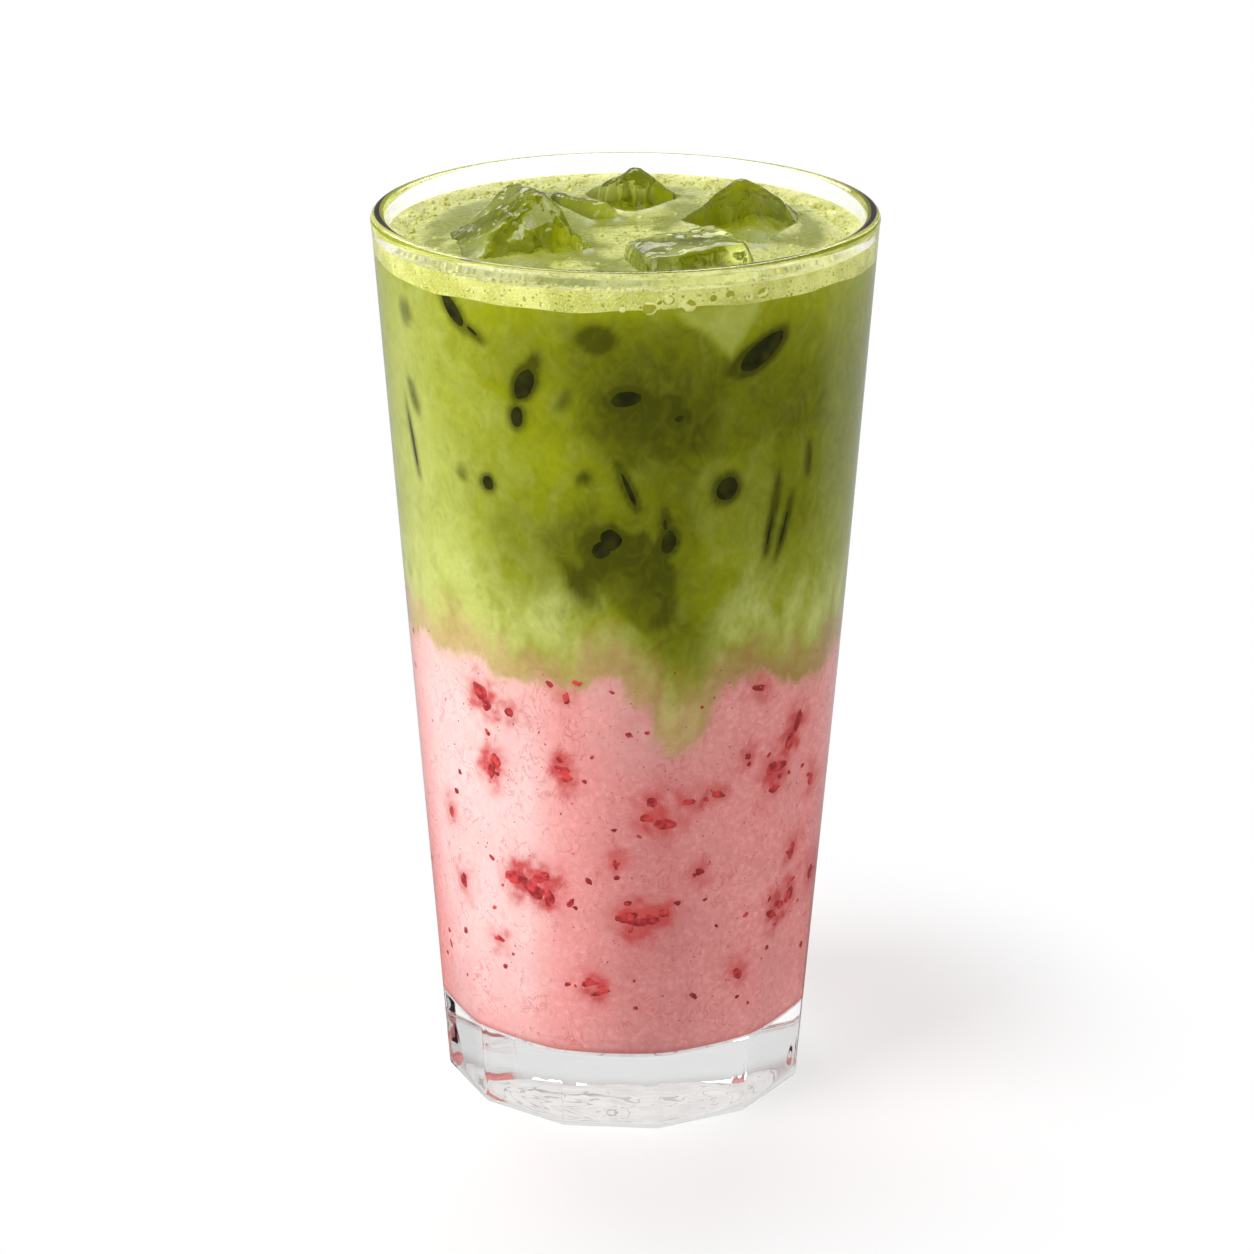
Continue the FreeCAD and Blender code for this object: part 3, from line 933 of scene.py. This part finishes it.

# %% [markdown]
# ## The berries' places
#
# The pink milk is strawberry purée stirred into milk. The larger bits that lie against the glass
# are listed one by one, and many small ones and specks are scattered with a seeded random draw,
# which gives the same places on every run. The places come before the milk's colour, because
# each bit also stains the milk round it.

# %% Place the bits of strawberry
BITS = (
    # bearing, height, width, height of the bit, all lengths in mm, lean in degrees
    (-33.5, 47.2, 4.2, 2.6, 10), (-28.0, 45.6, 4.6, 2.8, -25), (-25.0, 47.8, 3.6, 2.0, 20),
    (-23.0, 44.4, 2.4, 3.2, 0), (7.6, 63.6, 2.0, 1.8, 30), (11.0, 59.3, 3.4, 2.2, -10),
    (6.0, 60.6, 2.2, 1.6, 0), (0.5, 41.6, 3.6, 2.2, 15), (4.5, 40.6, 4.4, 1.6, 0),
    (11.5, 42.2, 2.2, 2.4, 0), (8.0, 41.0, 2.6, 1.8, -20), (55.5, 73.5, 2.2, 3.8, -18),
    (52.5, 70.4, 2.0, 4.4, -22), (48.5, 65.8, 3.4, 1.8, 10), (45.0, 66.0, 2.2, 3.0, -20),
    (46.5, 62.0, 2.8, 1.6, 0), (-39.0, 68.6, 2.2, 2.8, 20), (-40.5, 66.2, 1.6, 2.4, -10),
    (-17.5, 69.0, 2.8, 2.0, -20), (-16.4, 67.6, 2.2, 1.4, 0), (36.0, 69.6, 1.4, 1.4, 0),
    (49.0, 37.2, 2.8, 1.6, -30), (53.0, 38.4, 3.0, 1.6, -25), (59.0, 39.6, 2.2, 3.4, -15),
    (-11.0, 28.4, 3.4, 1.2, 10), (-8.0, 26.6, 3.0, 1.0, 15), (-43.0, 81.0, 2.4, 3.2, 30),
    (-40.5, 78.6, 2.6, 2.0, 0), (-33.0, 78.2, 1.8, 1.8, 0), (-16.0, 83.0, 1.4, 3.0, 0),
    (27.0, 63.6, 2.4, 1.6, -15), (18.0, 63.0, 2.0, 1.2, 0), (38.5, 82.0, 3.0, 1.2, -10),
    (72.0, 41.0, 1.8, 3.4, 0), (-56.0, 42.6, 1.8, 2.6, 0), (-42.0, 33.6, 2.2, 1.4, 0),
    (37.0, 28.2, 2.0, 2.8, 20), (58.0, 48.0, 1.8, 3.8, -10), (-60.0, 55.0, 1.4, 2.4, 0),
    (22.0, 49.5, 1.6, 1.4, 0), (-3.0, 52.0, 1.4, 2.0, 0), (66.0, 60.0, 1.6, 3.0, 0),
)
BACK_BITS = 46              # more bits round the sides and back
SMALL_BITS = 170
SPECKS = 900
draw = np.random.default_rng(7)

bits = list(BITS)
for _ in range(BACK_BITS):
    bits.append((draw.uniform(82, 272), draw.uniform(22, 82), draw.uniform(1.6, 4.6),
                 draw.uniform(1.4, 3.0), draw.uniform(-40, 40)))
group_middles = [(bit[0], bit[1]) for bit in bits]
small_bits = []
for _ in range(SMALL_BITS):
    middle = group_middles[draw.integers(len(group_middles))]
    near = draw.random() < 0.55
    bearing = middle[0] + draw.normal(0, 7) if near else draw.uniform(-180, 180)
    height = middle[1] + draw.normal(0, 3.4) if near else draw.uniform(18, 85)
    size = draw.uniform(0.55, 1.25)
    small_bits.append((bearing, height, size * draw.uniform(1, 1.6), size, draw.uniform(-60, 60)))
print(len(bits), "bits of strawberry and", len(small_bits), "small ones")


def wall_point(bearing, height, depth=0.0):
    """A point on the milk's side, depth metres in from it. Bearing in degrees, height in mm."""
    turn = math.radians(bearing)
    radius = wall_radius(height * MM) + MILK_BITE - depth
    return Vector((radius * math.sin(turn), -radius * math.cos(turn), height * MM))


# %% [markdown]
# ## The milk's colours
#
# The numbers from the unevenness step go on each point now, together with painted shade where the
# sunk ice is near and berry stains where the berries are near, and painted shade on the pocket
# under the floating ice and along the foot. `find_nearest` on a BVH tree gives the distance to the
# ice. The froth that lies on the surface, round the glass and in a patch between the blocks, gets
# its own number too.

# %% Store the drink's unevenness on both milks
HALO = 0.62 * MM            # how far the painted shade of the sunk ice reaches over the milk in front of it
HALO_SHADE = 0.78
STAIN = 1.3 * MM            # how far a berry bit stains the milk
POCKET_SHADE = 0.22          # painted shade on the milk's surface under the floating ice
SURFACE_DARK = 0.15
SURFACE_LOW = BOUNDARY_HEIGHT + 12 * MM     # away from the wall, all above this is surface

sunk_tree = search_tree(sunk_ice)
bit_points = np.array([wall_point(bit[0], bit[1]) for bit in bits])
bit_sizes = np.array([0.5 * (bit[2] + bit[3]) * MM for bit in bits])


# painted shade of the sunk ice: 1 on a lump, fading over the milk round it
def painted_ice_shade(points):
    far = np.array([sunk_tree.find_nearest(Vector(point))[3] for point in points])
    return np.exp(-(far / HALO) ** 2)


def berry_stain(points):
    """How much the berries tint each point: strongest over a bit, fading round it."""
    total = np.zeros(len(points))
    ragged = noise_at(points, 2.4 * MM, 3, 14) * 1.8 * MM
    for place, size in zip(bit_points, bit_sizes):
        far = np.linalg.norm((points - place) * np.array([1, 1, 0.8]), axis=1) + ragged
        far = np.maximum(far, 0)
        total += 0.75 * np.exp(-(far / (size * 0.5 + STAIN)) ** 2)
    return np.clip(total, 0, 1)


# bearing in degrees, distance from the axis in mm, radius in mm, strength
FROTH_PATCHES = (
    (35, 3, 8.0, 0.9), (15, 9, 6.0, 0.8), (80, 10, 6.0, 0.8), (48, 22, 6.0, 0.9),
    (60, 31, 8.0, 0.7), (20, 30, 7.0, 0.6), (-8, 33, 7.0, 0.5), (170, 14, 7.0, 0.5),
    (150, 30, 8.0, 0.5), (190, 30, 8.0, 0.5), (-20, 25, 5.0, 0.8), (0, 14, 5.0, 0.8),
    (100, 24, 7.0, 0.8), (-75, 30, 6.0, 0.6), (75, 18, 5.0, 0.9), (12, 20, 5.0, 0.8),
)


def froth_at(points):
    x, y, height = points.T
    bearing, radius = np.arctan2(x, -y), np.hypot(x, y)
    rim = smooth_step(radius, wall_radius(drink_level) - 9 * MM, wall_radius(drink_level) - 4 * MM)
    total = 0.8 * rim
    for middle, out, size, strength in FROTH_PATCHES:
        place = around(out * MM, math.radians(middle), 0)
        far = np.hypot(x - place[0], y - place[1])
        total = np.maximum(total, strength * np.exp(-(far / (size * MM)) ** 4))
    torn = noise_at(points, 4 * MM, 4, 9)
    total = total * smooth_step(torn + total * 1.4, 0.15, 0.75)
    return total * smooth_step(height, drink_level - 1.2 * MM, drink_level - 0.1 * MM)


for milk in (pink_milk, green_milk):
    points = mesh_points(milk)
    green, pale, dark = drink_at(points)
    ice_shade = painted_ice_shade(points)
    at_wall = np.hypot(points[:, 0], points[:, 1]) > wall_radius(points[:, 2]) - 0.5 * MM
    top = points[:, 2] > drink_level - 0.3 * MM
    pocket = ~at_wall & ~top & (points[:, 2] > SURFACE_LOW)
    # painted shade: darker milk round the sunk ice
    dark = np.clip(dark + HALO_SHADE * ice_shade, 0, 1)
    # painted shade on the milk's surface down in the pocket under each floating block
    dark = np.where(pocket, POCKET_SHADE, dark)
    dark = np.where(top & ~at_wall, SURFACE_DARK, dark)
    # painted shade: the milk darkens along its foot, and this goes out with the berry stains
    foot_shade = 0.5 * smooth_step(points[:, 2], FLOOR_THICKNESS + 2.4 * MM, FLOOR_THICKNESS + 0.6 * MM)
    stain = np.maximum(berry_stain(points) * (1 - green), foot_shade)
    store(milk, green=green, pale=pale, dark=dark, stain=stain,
          froth=froth_at(points) * (~at_wall))
    print(milk.name, "green", round(float(green.mean()), 2), "dark", round(float(dark.mean()), 2))

# %% [markdown]
# ## The milk's material
#
# Milk is opaque, so a rough Principled shader with no transmission is right. Node noise adds
# what is finer than the mesh: curdled mottling about a millimetre across, tiny grains of tea
# and berry, and fine threads where the colours meet. Behind glass the milk has no shine of its
# own, because the glass wets it, so its specular level is 0. The open surface is glossy, and its
# faces get a second material with the same colours and more shine.

# %% Make the milk's material
NOISE = "TexNoise"
CELLS = "TexVoronoi"


def attribute(tree, name):
    return add(tree, "Attribute", attribute_name=name).outputs["Fac"]


def blend(tree, factor, first, second, mode="MIX"):
    """Mix two colours. Each is an output or a tuple of linear red, green and blue."""
    node = add(tree, "Mix", data_type="RGBA", blend_type=mode)
    for slot, value in ((0, factor), (6, first), (7, second)):
        put(tree, value, node.inputs[slot])
    return node.outputs[2]


def texture(tree, kind, size, stretch=(1, 1, 1), warp=None, **values):
    """A noise or cell pattern in the piece's own coordinates, with features of a size."""
    place = add(tree, "TexCoord").outputs["Object"]
    spot = add(tree, "Mapping", Vector=place, Scale=stretch).outputs[0]
    if warp is not None:
        shift = add(tree, "VectorMath", operation="MULTIPLY_ADD")
        for slot, value in enumerate((warp, (size, size, size), spot)):
            put(tree, value, shift.inputs[slot])
        spot = shift.outputs[0]
    return add(tree, kind, Vector=spot, Scale=1 / size, **values)


def wavered(tree, value, pattern, amount):
    """A number from 0 to 1 that a pattern makes uneven."""
    off = maths(tree, "SUBTRACT", pattern, 0.5)
    return maths(tree, "MULTIPLY_ADD", off, amount, value, clamp=True)


def contour(tree, pattern, outer, inner):
    """A thin line where a noise pattern passes its middle value."""
    off = maths(tree, "ABSOLUTE", maths(tree, "SUBTRACT", pattern, 0.5))
    return between(tree, off, outer, inner)


def opaque(tree, colour, roughness, shine, height, strength, depth):
    """Finish a material as an opaque surface with a bump."""
    bump = add(tree, "Bump", Strength=strength, Distance=depth, Height=height)
    body = add(tree, "BsdfPrincipled", Base_Color=colour, Roughness=roughness,
               Specular_IOR_Level=shine, Normal=bump.outputs[0])
    add(tree, "OutputMaterial", Surface=body.outputs[0])


def underside_material():
    """The milk's floor, painted nearly white: painted light for the light the thick glass gathers under
    it.
    """
    material, tree = new_material("milk_underside")
    cloud = texture(tree, NOISE, 6.0 * MM, Detail=4.0).outputs[0]
    swirl = texture(tree, NOISE, 11.0 * MM, (1, 1.6, 1), Detail=1.5, Distortion=1.2).outputs[0]
    line = maths(tree, "MULTIPLY", contour(tree, swirl, 0.016, 0.003), 0.55)
    smudge = maths(tree, "MULTIPLY", between(tree, swirl, 0.60, 0.68), 0.22)
    painted_wash = blend(tree, between(tree, cloud, 0.3, 0.7), (0.90, 0.87, 0.86), (0.98, 0.97, 0.96))
    painted_wash = blend(tree, line, painted_wash, (0.26, 0.20, 0.17))
    painted_wash = blend(tree, smudge, painted_wash, (0.55, 0.52, 0.50))
    opaque(tree, painted_wash, 0.9, 0.0, cloud, 0.2, 0.05 * MM)
    return material


PALE_GREEN = (0.520, 0.560, 0.160)
RICH_GREEN = (0.285, 0.314, 0.005)
DEEP_GREEN = (0.070, 0.074, 0.0010)
FROTH_GREEN = (0.740, 0.760, 0.240)
SAND = (0.370, 0.250, 0.078)
PALE_SAND = (0.560, 0.440, 0.190)
PALE_ROSE = (0.870, 0.610, 0.592)
ROSE = (0.790, 0.322, 0.308)
DEEP_ROSE = (0.720, 0.220, 0.210)
BERRY_RED = (0.560, 0.090, 0.088)
SHADE_ROSE = (0.160, 0.020, 0.020)


def milk_material(name, roughness, shine):
    material, tree = new_material(name)
    thread = texture(tree, NOISE, 3.4 * MM, (1, 1, 0.7), Detail=6.0, Distortion=1.9).outputs[0]
    fine = texture(tree, NOISE, 1.1 * MM, Detail=6.0, Roughness=0.72).outputs[0]
    broad = texture(tree, NOISE, 6.0 * MM, Detail=3.0, Distortion=0.8).outputs[0]
    green, dark, froth = (attribute(tree, name) for name in ("green", "dark", "froth"))
    pale = wavered(tree, attribute(tree, "pale"), broad, 0.8)

    # the tea, and where it goes over to sand and then to pink
    off_middle = maths(tree, "ABSOLUTE", maths(tree, "MULTIPLY_ADD", green, 2.0, -1.0))
    mixing = maths(tree, "SUBTRACT", 1.0, off_middle)
    uneven = maths(tree, "MULTIPLY_ADD", thread, 0.7, -0.35)
    green = maths(tree, "MULTIPLY_ADD", uneven, mixing, green, clamp=True)
    tea = blend(tree, pale, RICH_GREEN, PALE_GREEN)
    # painted shade: the dark number turns the tea deep olive
    tea = blend(tree, wavered(tree, dark, thread, 0.60), tea, DEEP_GREEN)
    sand = blend(tree, pale, SAND, PALE_SAND)

    # the pink milk: curds, blushes, painted shade, veins, and stains with a painted shade along the foot
    curd = maths(tree, "MULTIPLY", between(tree, fine, 0.42, 0.70), 0.30)
    less_pale = maths(tree, "MULTIPLY_ADD", pale, -0.6, 0.45)
    blush = maths(tree, "MULTIPLY", between(tree, broad, 0.46, 0.80), less_pale, clamp=True)
    vein = maths(tree, "MULTIPLY", contour(tree, thread, 0.028, 0.004), between(tree, broad, 0.40, 0.60))
    stain = maths(tree, "MULTIPLY", attribute(tree, "stain"), between(tree, fine, 0.08, 0.52))
    rose = blend(tree, maths(tree, "MAXIMUM", pale, curd), ROSE, PALE_ROSE)
    for amount, colour in ((blush, DEEP_ROSE), (dark, SHADE_ROSE),
                           (maths(tree, "MULTIPLY", vein, 0.42), BERRY_RED), (stain, BERRY_RED)):
        rose = blend(tree, amount, rose, colour)
    drink = blend(tree, between(tree, green, 0.02, 0.36), rose, sand)
    drink = blend(tree, between(tree, green, 0.42, 0.97), drink, tea)

    # the froth on the surface, grains of tea and berry, and mottling
    lace = texture(tree, CELLS, 0.9 * MM, feature="F1").outputs["Distance"]
    bubbly = blend(tree, between(tree, lace, 0.10, 0.34), RICH_GREEN, FROTH_GREEN)
    drink = blend(tree, froth, drink, bubbly)
    grain = texture(tree, CELLS, 1.1 * MM, feature="F1").outputs
    speck = maths(tree, "MULTIPLY", between(tree, grain["Distance"], 0.10, 0.02),
                  between(tree, grain["Color"], 0.72, 0.80))
    drink = blend(tree, maths(tree, "MULTIPLY", speck, 0.5), drink, (0.5, 0.45, 0.4), "MULTIPLY")
    mottle = blend(tree, fine, (0.60, 0.60, 0.60), (1.38, 1.38, 1.38))
    drink = blend(tree, 0.50, drink, mottle, "MULTIPLY")
    opaque(tree, drink, between(tree, fine, 0.2, 0.8, roughness - 0.08, roughness + 0.08), shine,
           maths(tree, "MULTIPLY_ADD", froth, lace, fine), 0.35, 0.10 * MM)
    return material


pink_milk.data.materials.append(milk_material("pink_milk", 0.85, 0.0))
pink_milk.data.materials.append(underside_material())
# the milk's floor gets the pale underside material, its painted light
for polygon in pink_milk.data.polygons:
    if polygon.normal.z < -0.62 and polygon.center.z < FLOOR_THICKNESS + MM:
        polygon.material_index = 1
green_milk.data.materials.append(milk_material("green_milk", 0.85, 0.0))
green_milk.data.materials.append(milk_material("green_milk_surface", 0.26, 0.22))
for polygon in green_milk.data.polygons:
    middle = polygon.center
    at_wall = math.hypot(middle.x, middle.y) > wall_radius(middle.z) - 0.02 * MM
    if polygon.normal.z > 0.2 and middle.z > SURFACE_LOW and not at_wall:
        polygon.material_index = 1
for milk, node, slot in ((pink_milk, "strawberry_milk", "pink_milk"),
                         (green_milk, "matcha_milk", "green_milk")):
    milk.data.set_sharp_from_angle(angle=math.radians(40))
    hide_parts(node)
    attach(milk, "root")

# %% [markdown]
# ## The bits of strawberry
#
# Each bit is a small lump, squashed against the glass and torn by noise, and set so that it only
# just shows through the milk. Large ones need more points than specks, so the number of
# subdivisions depends on the size. Noise makes each bit darker and brighter red in places, and
# cells dot it with seeds.

# %% Make the bits and the specks
BIT_GROWTH = 1.25           # the part of a bit that shows is smaller than the bit
LUMP_SUNK = 0.62            # how far a lump's centre lies behind the wall, as a share of its depth


def lump(bearing, height, width, tall, lean, depth, seed, level, proud=0.08 * MM, tear=0.32):
    """One lump on the milk's side. Lengths in mm except proud, angles in degrees."""
    form, points = ball(level)
    torn = 1 + tear * noise_at(points, 0.9, 3, seed)
    side = wall_radius(height * MM) + MILK_BITE
    place = (side - LUMP_SUNK * depth * MM, height * MM)
    size = (depth * MM, width / 2 * MM, tall / 2 * MM)
    return press(form, torn, bearing, place, size, lean, side, proud)


def berry_material(name, dark, bright, size):
    material, tree = new_material(name)
    flesh = texture(tree, NOISE, size, Detail=4.0).outputs[0]
    seeds = texture(tree, CELLS, size * 0.8, feature="F1").outputs["Distance"]
    colour = blend(tree, between(tree, flesh, 0.38, 0.66), dark, bright)
    colour = blend(tree, between(tree, seeds, 0.14, 0.05), colour, (0.62, 0.30, 0.12))
    opaque(tree, colour, 0.45, 0.2, flesh, 0.5, 0.10 * MM)
    return material


forms = []
for number, (bearing, height, width, tall, lean) in enumerate(bits + small_bits):
    level = 3 if width > 1.5 else 2
    forms.append(lump(bearing, height, BIT_GROWTH * width, BIT_GROWTH * tall, lean,
                      0.35 + 0.08 * width, 100 + number, level))
strawberry_bits = joined_forms(
    "strawberry_bits", forms,
    berry_material("strawberry", (0.260, 0.016, 0.022), (0.640, 0.060, 0.060), 1.6 * MM))

forms = []
for number in range(SPECKS):
    size = draw.uniform(0.16, 0.42)
    forms.append(lump(draw.uniform(-180, 180), draw.uniform(17, 88), size * draw.uniform(1, 2.2),
                      size, draw.uniform(-90, 90), 0.16, 900 + number, 1))
strawberry_specks = joined_forms(
    "strawberry_specks", forms,
    berry_material("strawberry_skin", (0.180, 0.020, 0.045), (0.480, 0.070, 0.080), 0.9 * MM))
for piece in (strawberry_bits, strawberry_specks):
    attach(piece, "root")
    print(piece.name, len(piece.data.polygons), "faces")

# %% [markdown]
# ## The froth
#
# Whisked tea carries a froth of tiny bubbles that gathers round the glass. The ring is a skin over
# a cross-section: up the glass, over a soft crown, and down to the surface at an uneven inner
# edge. Separate bubbles of many sizes then sit in it, denser towards the glass. A bubble is
# a small sphere, sunk to a little over half its height.

# %% Build the froth
FOAM_BOTTOM = 151.15 * MM
FOAM_WIDTH = 5.4 * MM
FOAM_RISE = 0.42 * MM
FOAM_PROUD = 0.06 * MM      # how far the froth stands out of the milk's side
FOAM_CREEP = 0.35 * MM
FOAM_SHOULDER = 0.25 * MM
FOAM_COLUMNS = 480
foam_turns = np.linspace(0, 2 * np.pi, FOAM_COLUMNS, endpoint=False)


def foam_width(bearing):
    """How far the froth reaches in from the glass, at bearings in radians."""
    wave = (0.28 * np.sin(2 * bearing + 0.8) + 0.20 * np.sin(5 * bearing + 2.1)
            + 0.14 * np.sin(11 * bearing) + 0.10 * np.sin(23 * bearing + 1.0))
    return FOAM_WIDTH * (0.85 + 0.5 * wave)


def foam_bottom(bearing):
    return FOAM_BOTTOM + 0.35 * MM * (
        np.sin(3 * bearing + 0.5) + 0.6 * np.sin(8 * bearing) + 0.35 * np.sin(19 * bearing + 2))


rings = []
outer = wall_radius(drink_level) + MILK_BITE + FOAM_PROUD
crown_top = drink_level + FOAM_RISE
shoulder = drink_level - FOAM_SHOULDER
bottom = foam_bottom(foam_turns)
width = foam_width(foam_turns)
for share in np.linspace(0, 1, 10):
    height = bottom + (crown_top + FOAM_CREEP - bottom) * share
    rings.append(around(wall_radius(height) + MILK_BITE + FOAM_PROUD, foam_turns, height))
for share in np.linspace(0, 1, 26)[1:]:
    creep = FOAM_CREEP * np.exp(-share * width / (0.7 * MM))
    height = shoulder + (FOAM_RISE + FOAM_SHOULDER) * (1 - share ** 3) + creep
    rings.append(around(outer - FOAM_SHOULDER - width * share, foam_turns, height))
for share in np.linspace(0, 1, 6)[1:]:
    height = shoulder - (shoulder - bottom) * share * 0.9
    rings.append(around(outer - FOAM_SHOULDER - width * (1 - share * 0.98), foam_turns, height))
flat = np.array(rings).reshape(-1, 3)
faces = skin(len(rings) + 1, FOAM_COLUMNS) % len(flat)     # the last ring joins the first again
lumpy = noise_at(flat, 1.6 * MM, 3, 12)
on_top = smooth_step(flat[:, 2], drink_level - 0.2 * MM, drink_level + 0.1 * MM)
on_top *= np.hypot(flat[:, 0], flat[:, 1]) < outer - 0.2 * MM
flat[:, 2] += on_top * lumpy * 0.22 * MM
froth = object_from("froth_ring", flat, faces)
print("froth ring", len(froth.data.polygons), "faces")


def froth_material():
    material, tree = new_material("froth")
    warp = texture(tree, NOISE, 2.0 * MM, Detail=2.0).outputs["Color"]
    cells = texture(tree, CELLS, 0.85 * MM, warp=warp, feature="F1").outputs
    small = texture(tree, CELLS, 0.40 * MM, feature="F1").outputs["Distance"]
    cloud = texture(tree, NOISE, 5.0 * MM, Detail=4.0).outputs[0]
    pits = maths(tree, "MULTIPLY", between(tree, cells["Distance"], 0.30, 0.12),
                 between(tree, cells["Color"], 0.34, 0.52))
    # painted highlight: small pale yellow glints on the froth's bubbles
    shine = maths(tree, "MULTIPLY", between(tree, small, 0.5, 0.2), 0.25)
    tone = blend(tree, between(tree, cloud, 0.35, 0.68), (0.500, 0.512, 0.080), (0.700, 0.700, 0.200))
    tone = blend(tree, maths(tree, "MULTIPLY", pits, 0.75), tone, (0.230, 0.260, 0.030))
    tone = blend(tree, shine, tone, (1.0, 0.98, 0.70))
    opaque(tree, tone, 0.35, 0.35, maths(tree, "SUBTRACT", small, pits), 0.6, 0.18 * MM)
    return material


froth_look = froth_material()
froth.data.materials.append(froth_look)
froth.data.set_sharp_from_angle(angle=math.radians(50))
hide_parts("foam_ring")
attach(froth, "root")

# %% [markdown]
# ## Bubbles
#
# Bubbles are scattered by seeded random draws over the ring and the froth patches, never inside a
# block of ice. A random place is kept with a chance equal to the froth there, which makes the
# bubbles thin out where the froth does.

# %% Scatter the bubbles
BUBBLES = 1500
bubble_draw = np.random.default_rng(11)


def inside_ice(place, margin):
    for tree in whole_ice:
        near, normal, _, far = tree.find_nearest(place)
        if far < margin or (place - near).dot(normal) < 0:
            return True
    return False


forms = []
while len(forms) < BUBBLES:
    out = (wall_radius(drink_level) - 0.3 * MM) * math.sqrt(bubble_draw.random())
    turn = bubble_draw.uniform(0, 2 * math.pi)
    radius = 0.14 * MM + 0.55 * MM * bubble_draw.random() ** 5
    chance = bubble_draw.random()
    place = Vector((out * math.sin(turn), -out * math.cos(turn), drink_level))
    from_wall = wall_radius(drink_level) - out
    in_ring = from_wall < foam_width(turn)
    share = 0.8 if in_ring else 0.75 * float(froth_at(np.array([place]))[0])
    if chance > share or inside_ice(place, radius):
        continue
    lift = FOAM_RISE * (1 - (from_wall / foam_width(turn)) ** 3) if in_ring else 0.0
    place.z += lift - 0.25 * radius
    form, _ = ball(2 if radius > 0.4 * MM else 1, radius)
    bmesh.ops.translate(form, vec=place, verts=form.verts)
    forms.append(form)
bubbles = joined_forms("froth_bubbles", forms, froth_look)
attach(bubbles, "root")
print("bubbles", len(bubbles.data.polygons), "faces")

# %% [markdown]
# ## Bubbles against the glass
#
# Where the froth presses against the glass, its larger bubbles flatten into little windows. Some
# show the tea behind them and look darker, and some are full of froth and look paler. They are
# lumps like the berries, brought flush with the froth's side.

# %% Press bubbles against the glass
WINDOWS = 420
WINDOW_PROUD = 0.12 * MM
WINDOW_TEAR = 0.07          # bubbles are rounder than berries
BIG_WINDOWS = (
    # bearing in degrees, height and width in mm
    (5.3, 151.9, 2.4), (14.2, 152.2, 2.6), (9.6, 153.2, 2.0), (32.5, 152.8, 2.2), (29.0, 152.5, 1.4),
    (-0.6, 151.6, 1.1), (20.0, 152.9, 1.3), (24.0, 153.3, 1.6), (7.5, 152.8, 1.0), (-5.0, 152.4, 0.8),
)


def window_material():
    material, tree = new_material("froth_windows")
    patch = texture(tree, NOISE, 1.8 * MM, Detail=1.0).outputs[0]
    film = texture(tree, NOISE, 0.5 * MM, Detail=3.0).outputs[0]
    tone = blend(tree, between(tree, patch, 0.47, 0.56), (0.330, 0.335, 0.022), (0.700, 0.715, 0.260))
    streaks = blend(tree, film, (0.6, 0.6, 0.6), (1.4, 1.4, 1.4))
    tone = blend(tree, 0.3, tone, streaks, "MULTIPLY")
    opaque(tree, tone, 0.3, 0.1, film, 0.3, 0.05 * MM)
    return material


window_draw = np.random.default_rng(19)
window_rows = list(BIG_WINDOWS)
for _ in range(WINDOWS):
    bearing = window_draw.uniform(-180, 180)
    low = float(foam_bottom(math.radians(bearing))) / MM + 0.2
    height = window_draw.uniform(low, drink_level / MM - 0.1)
    window_rows.append((bearing, height, 0.18 + 0.62 * window_draw.random() ** 3))
forms = []
for number, (bearing, height, width) in enumerate(window_rows):
    level = 3 if width > 0.9 else 2
    forms.append(lump(bearing, height, 1.35 * width, 1.2 * width, 0, 0.7, 3000 + number, level,
                      WINDOW_PROUD, WINDOW_TEAR))
windows = joined_forms("froth_windows", forms, window_material())
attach(windows, "root")
print("bubbles against the glass", len(windows.data.polygons), "faces")
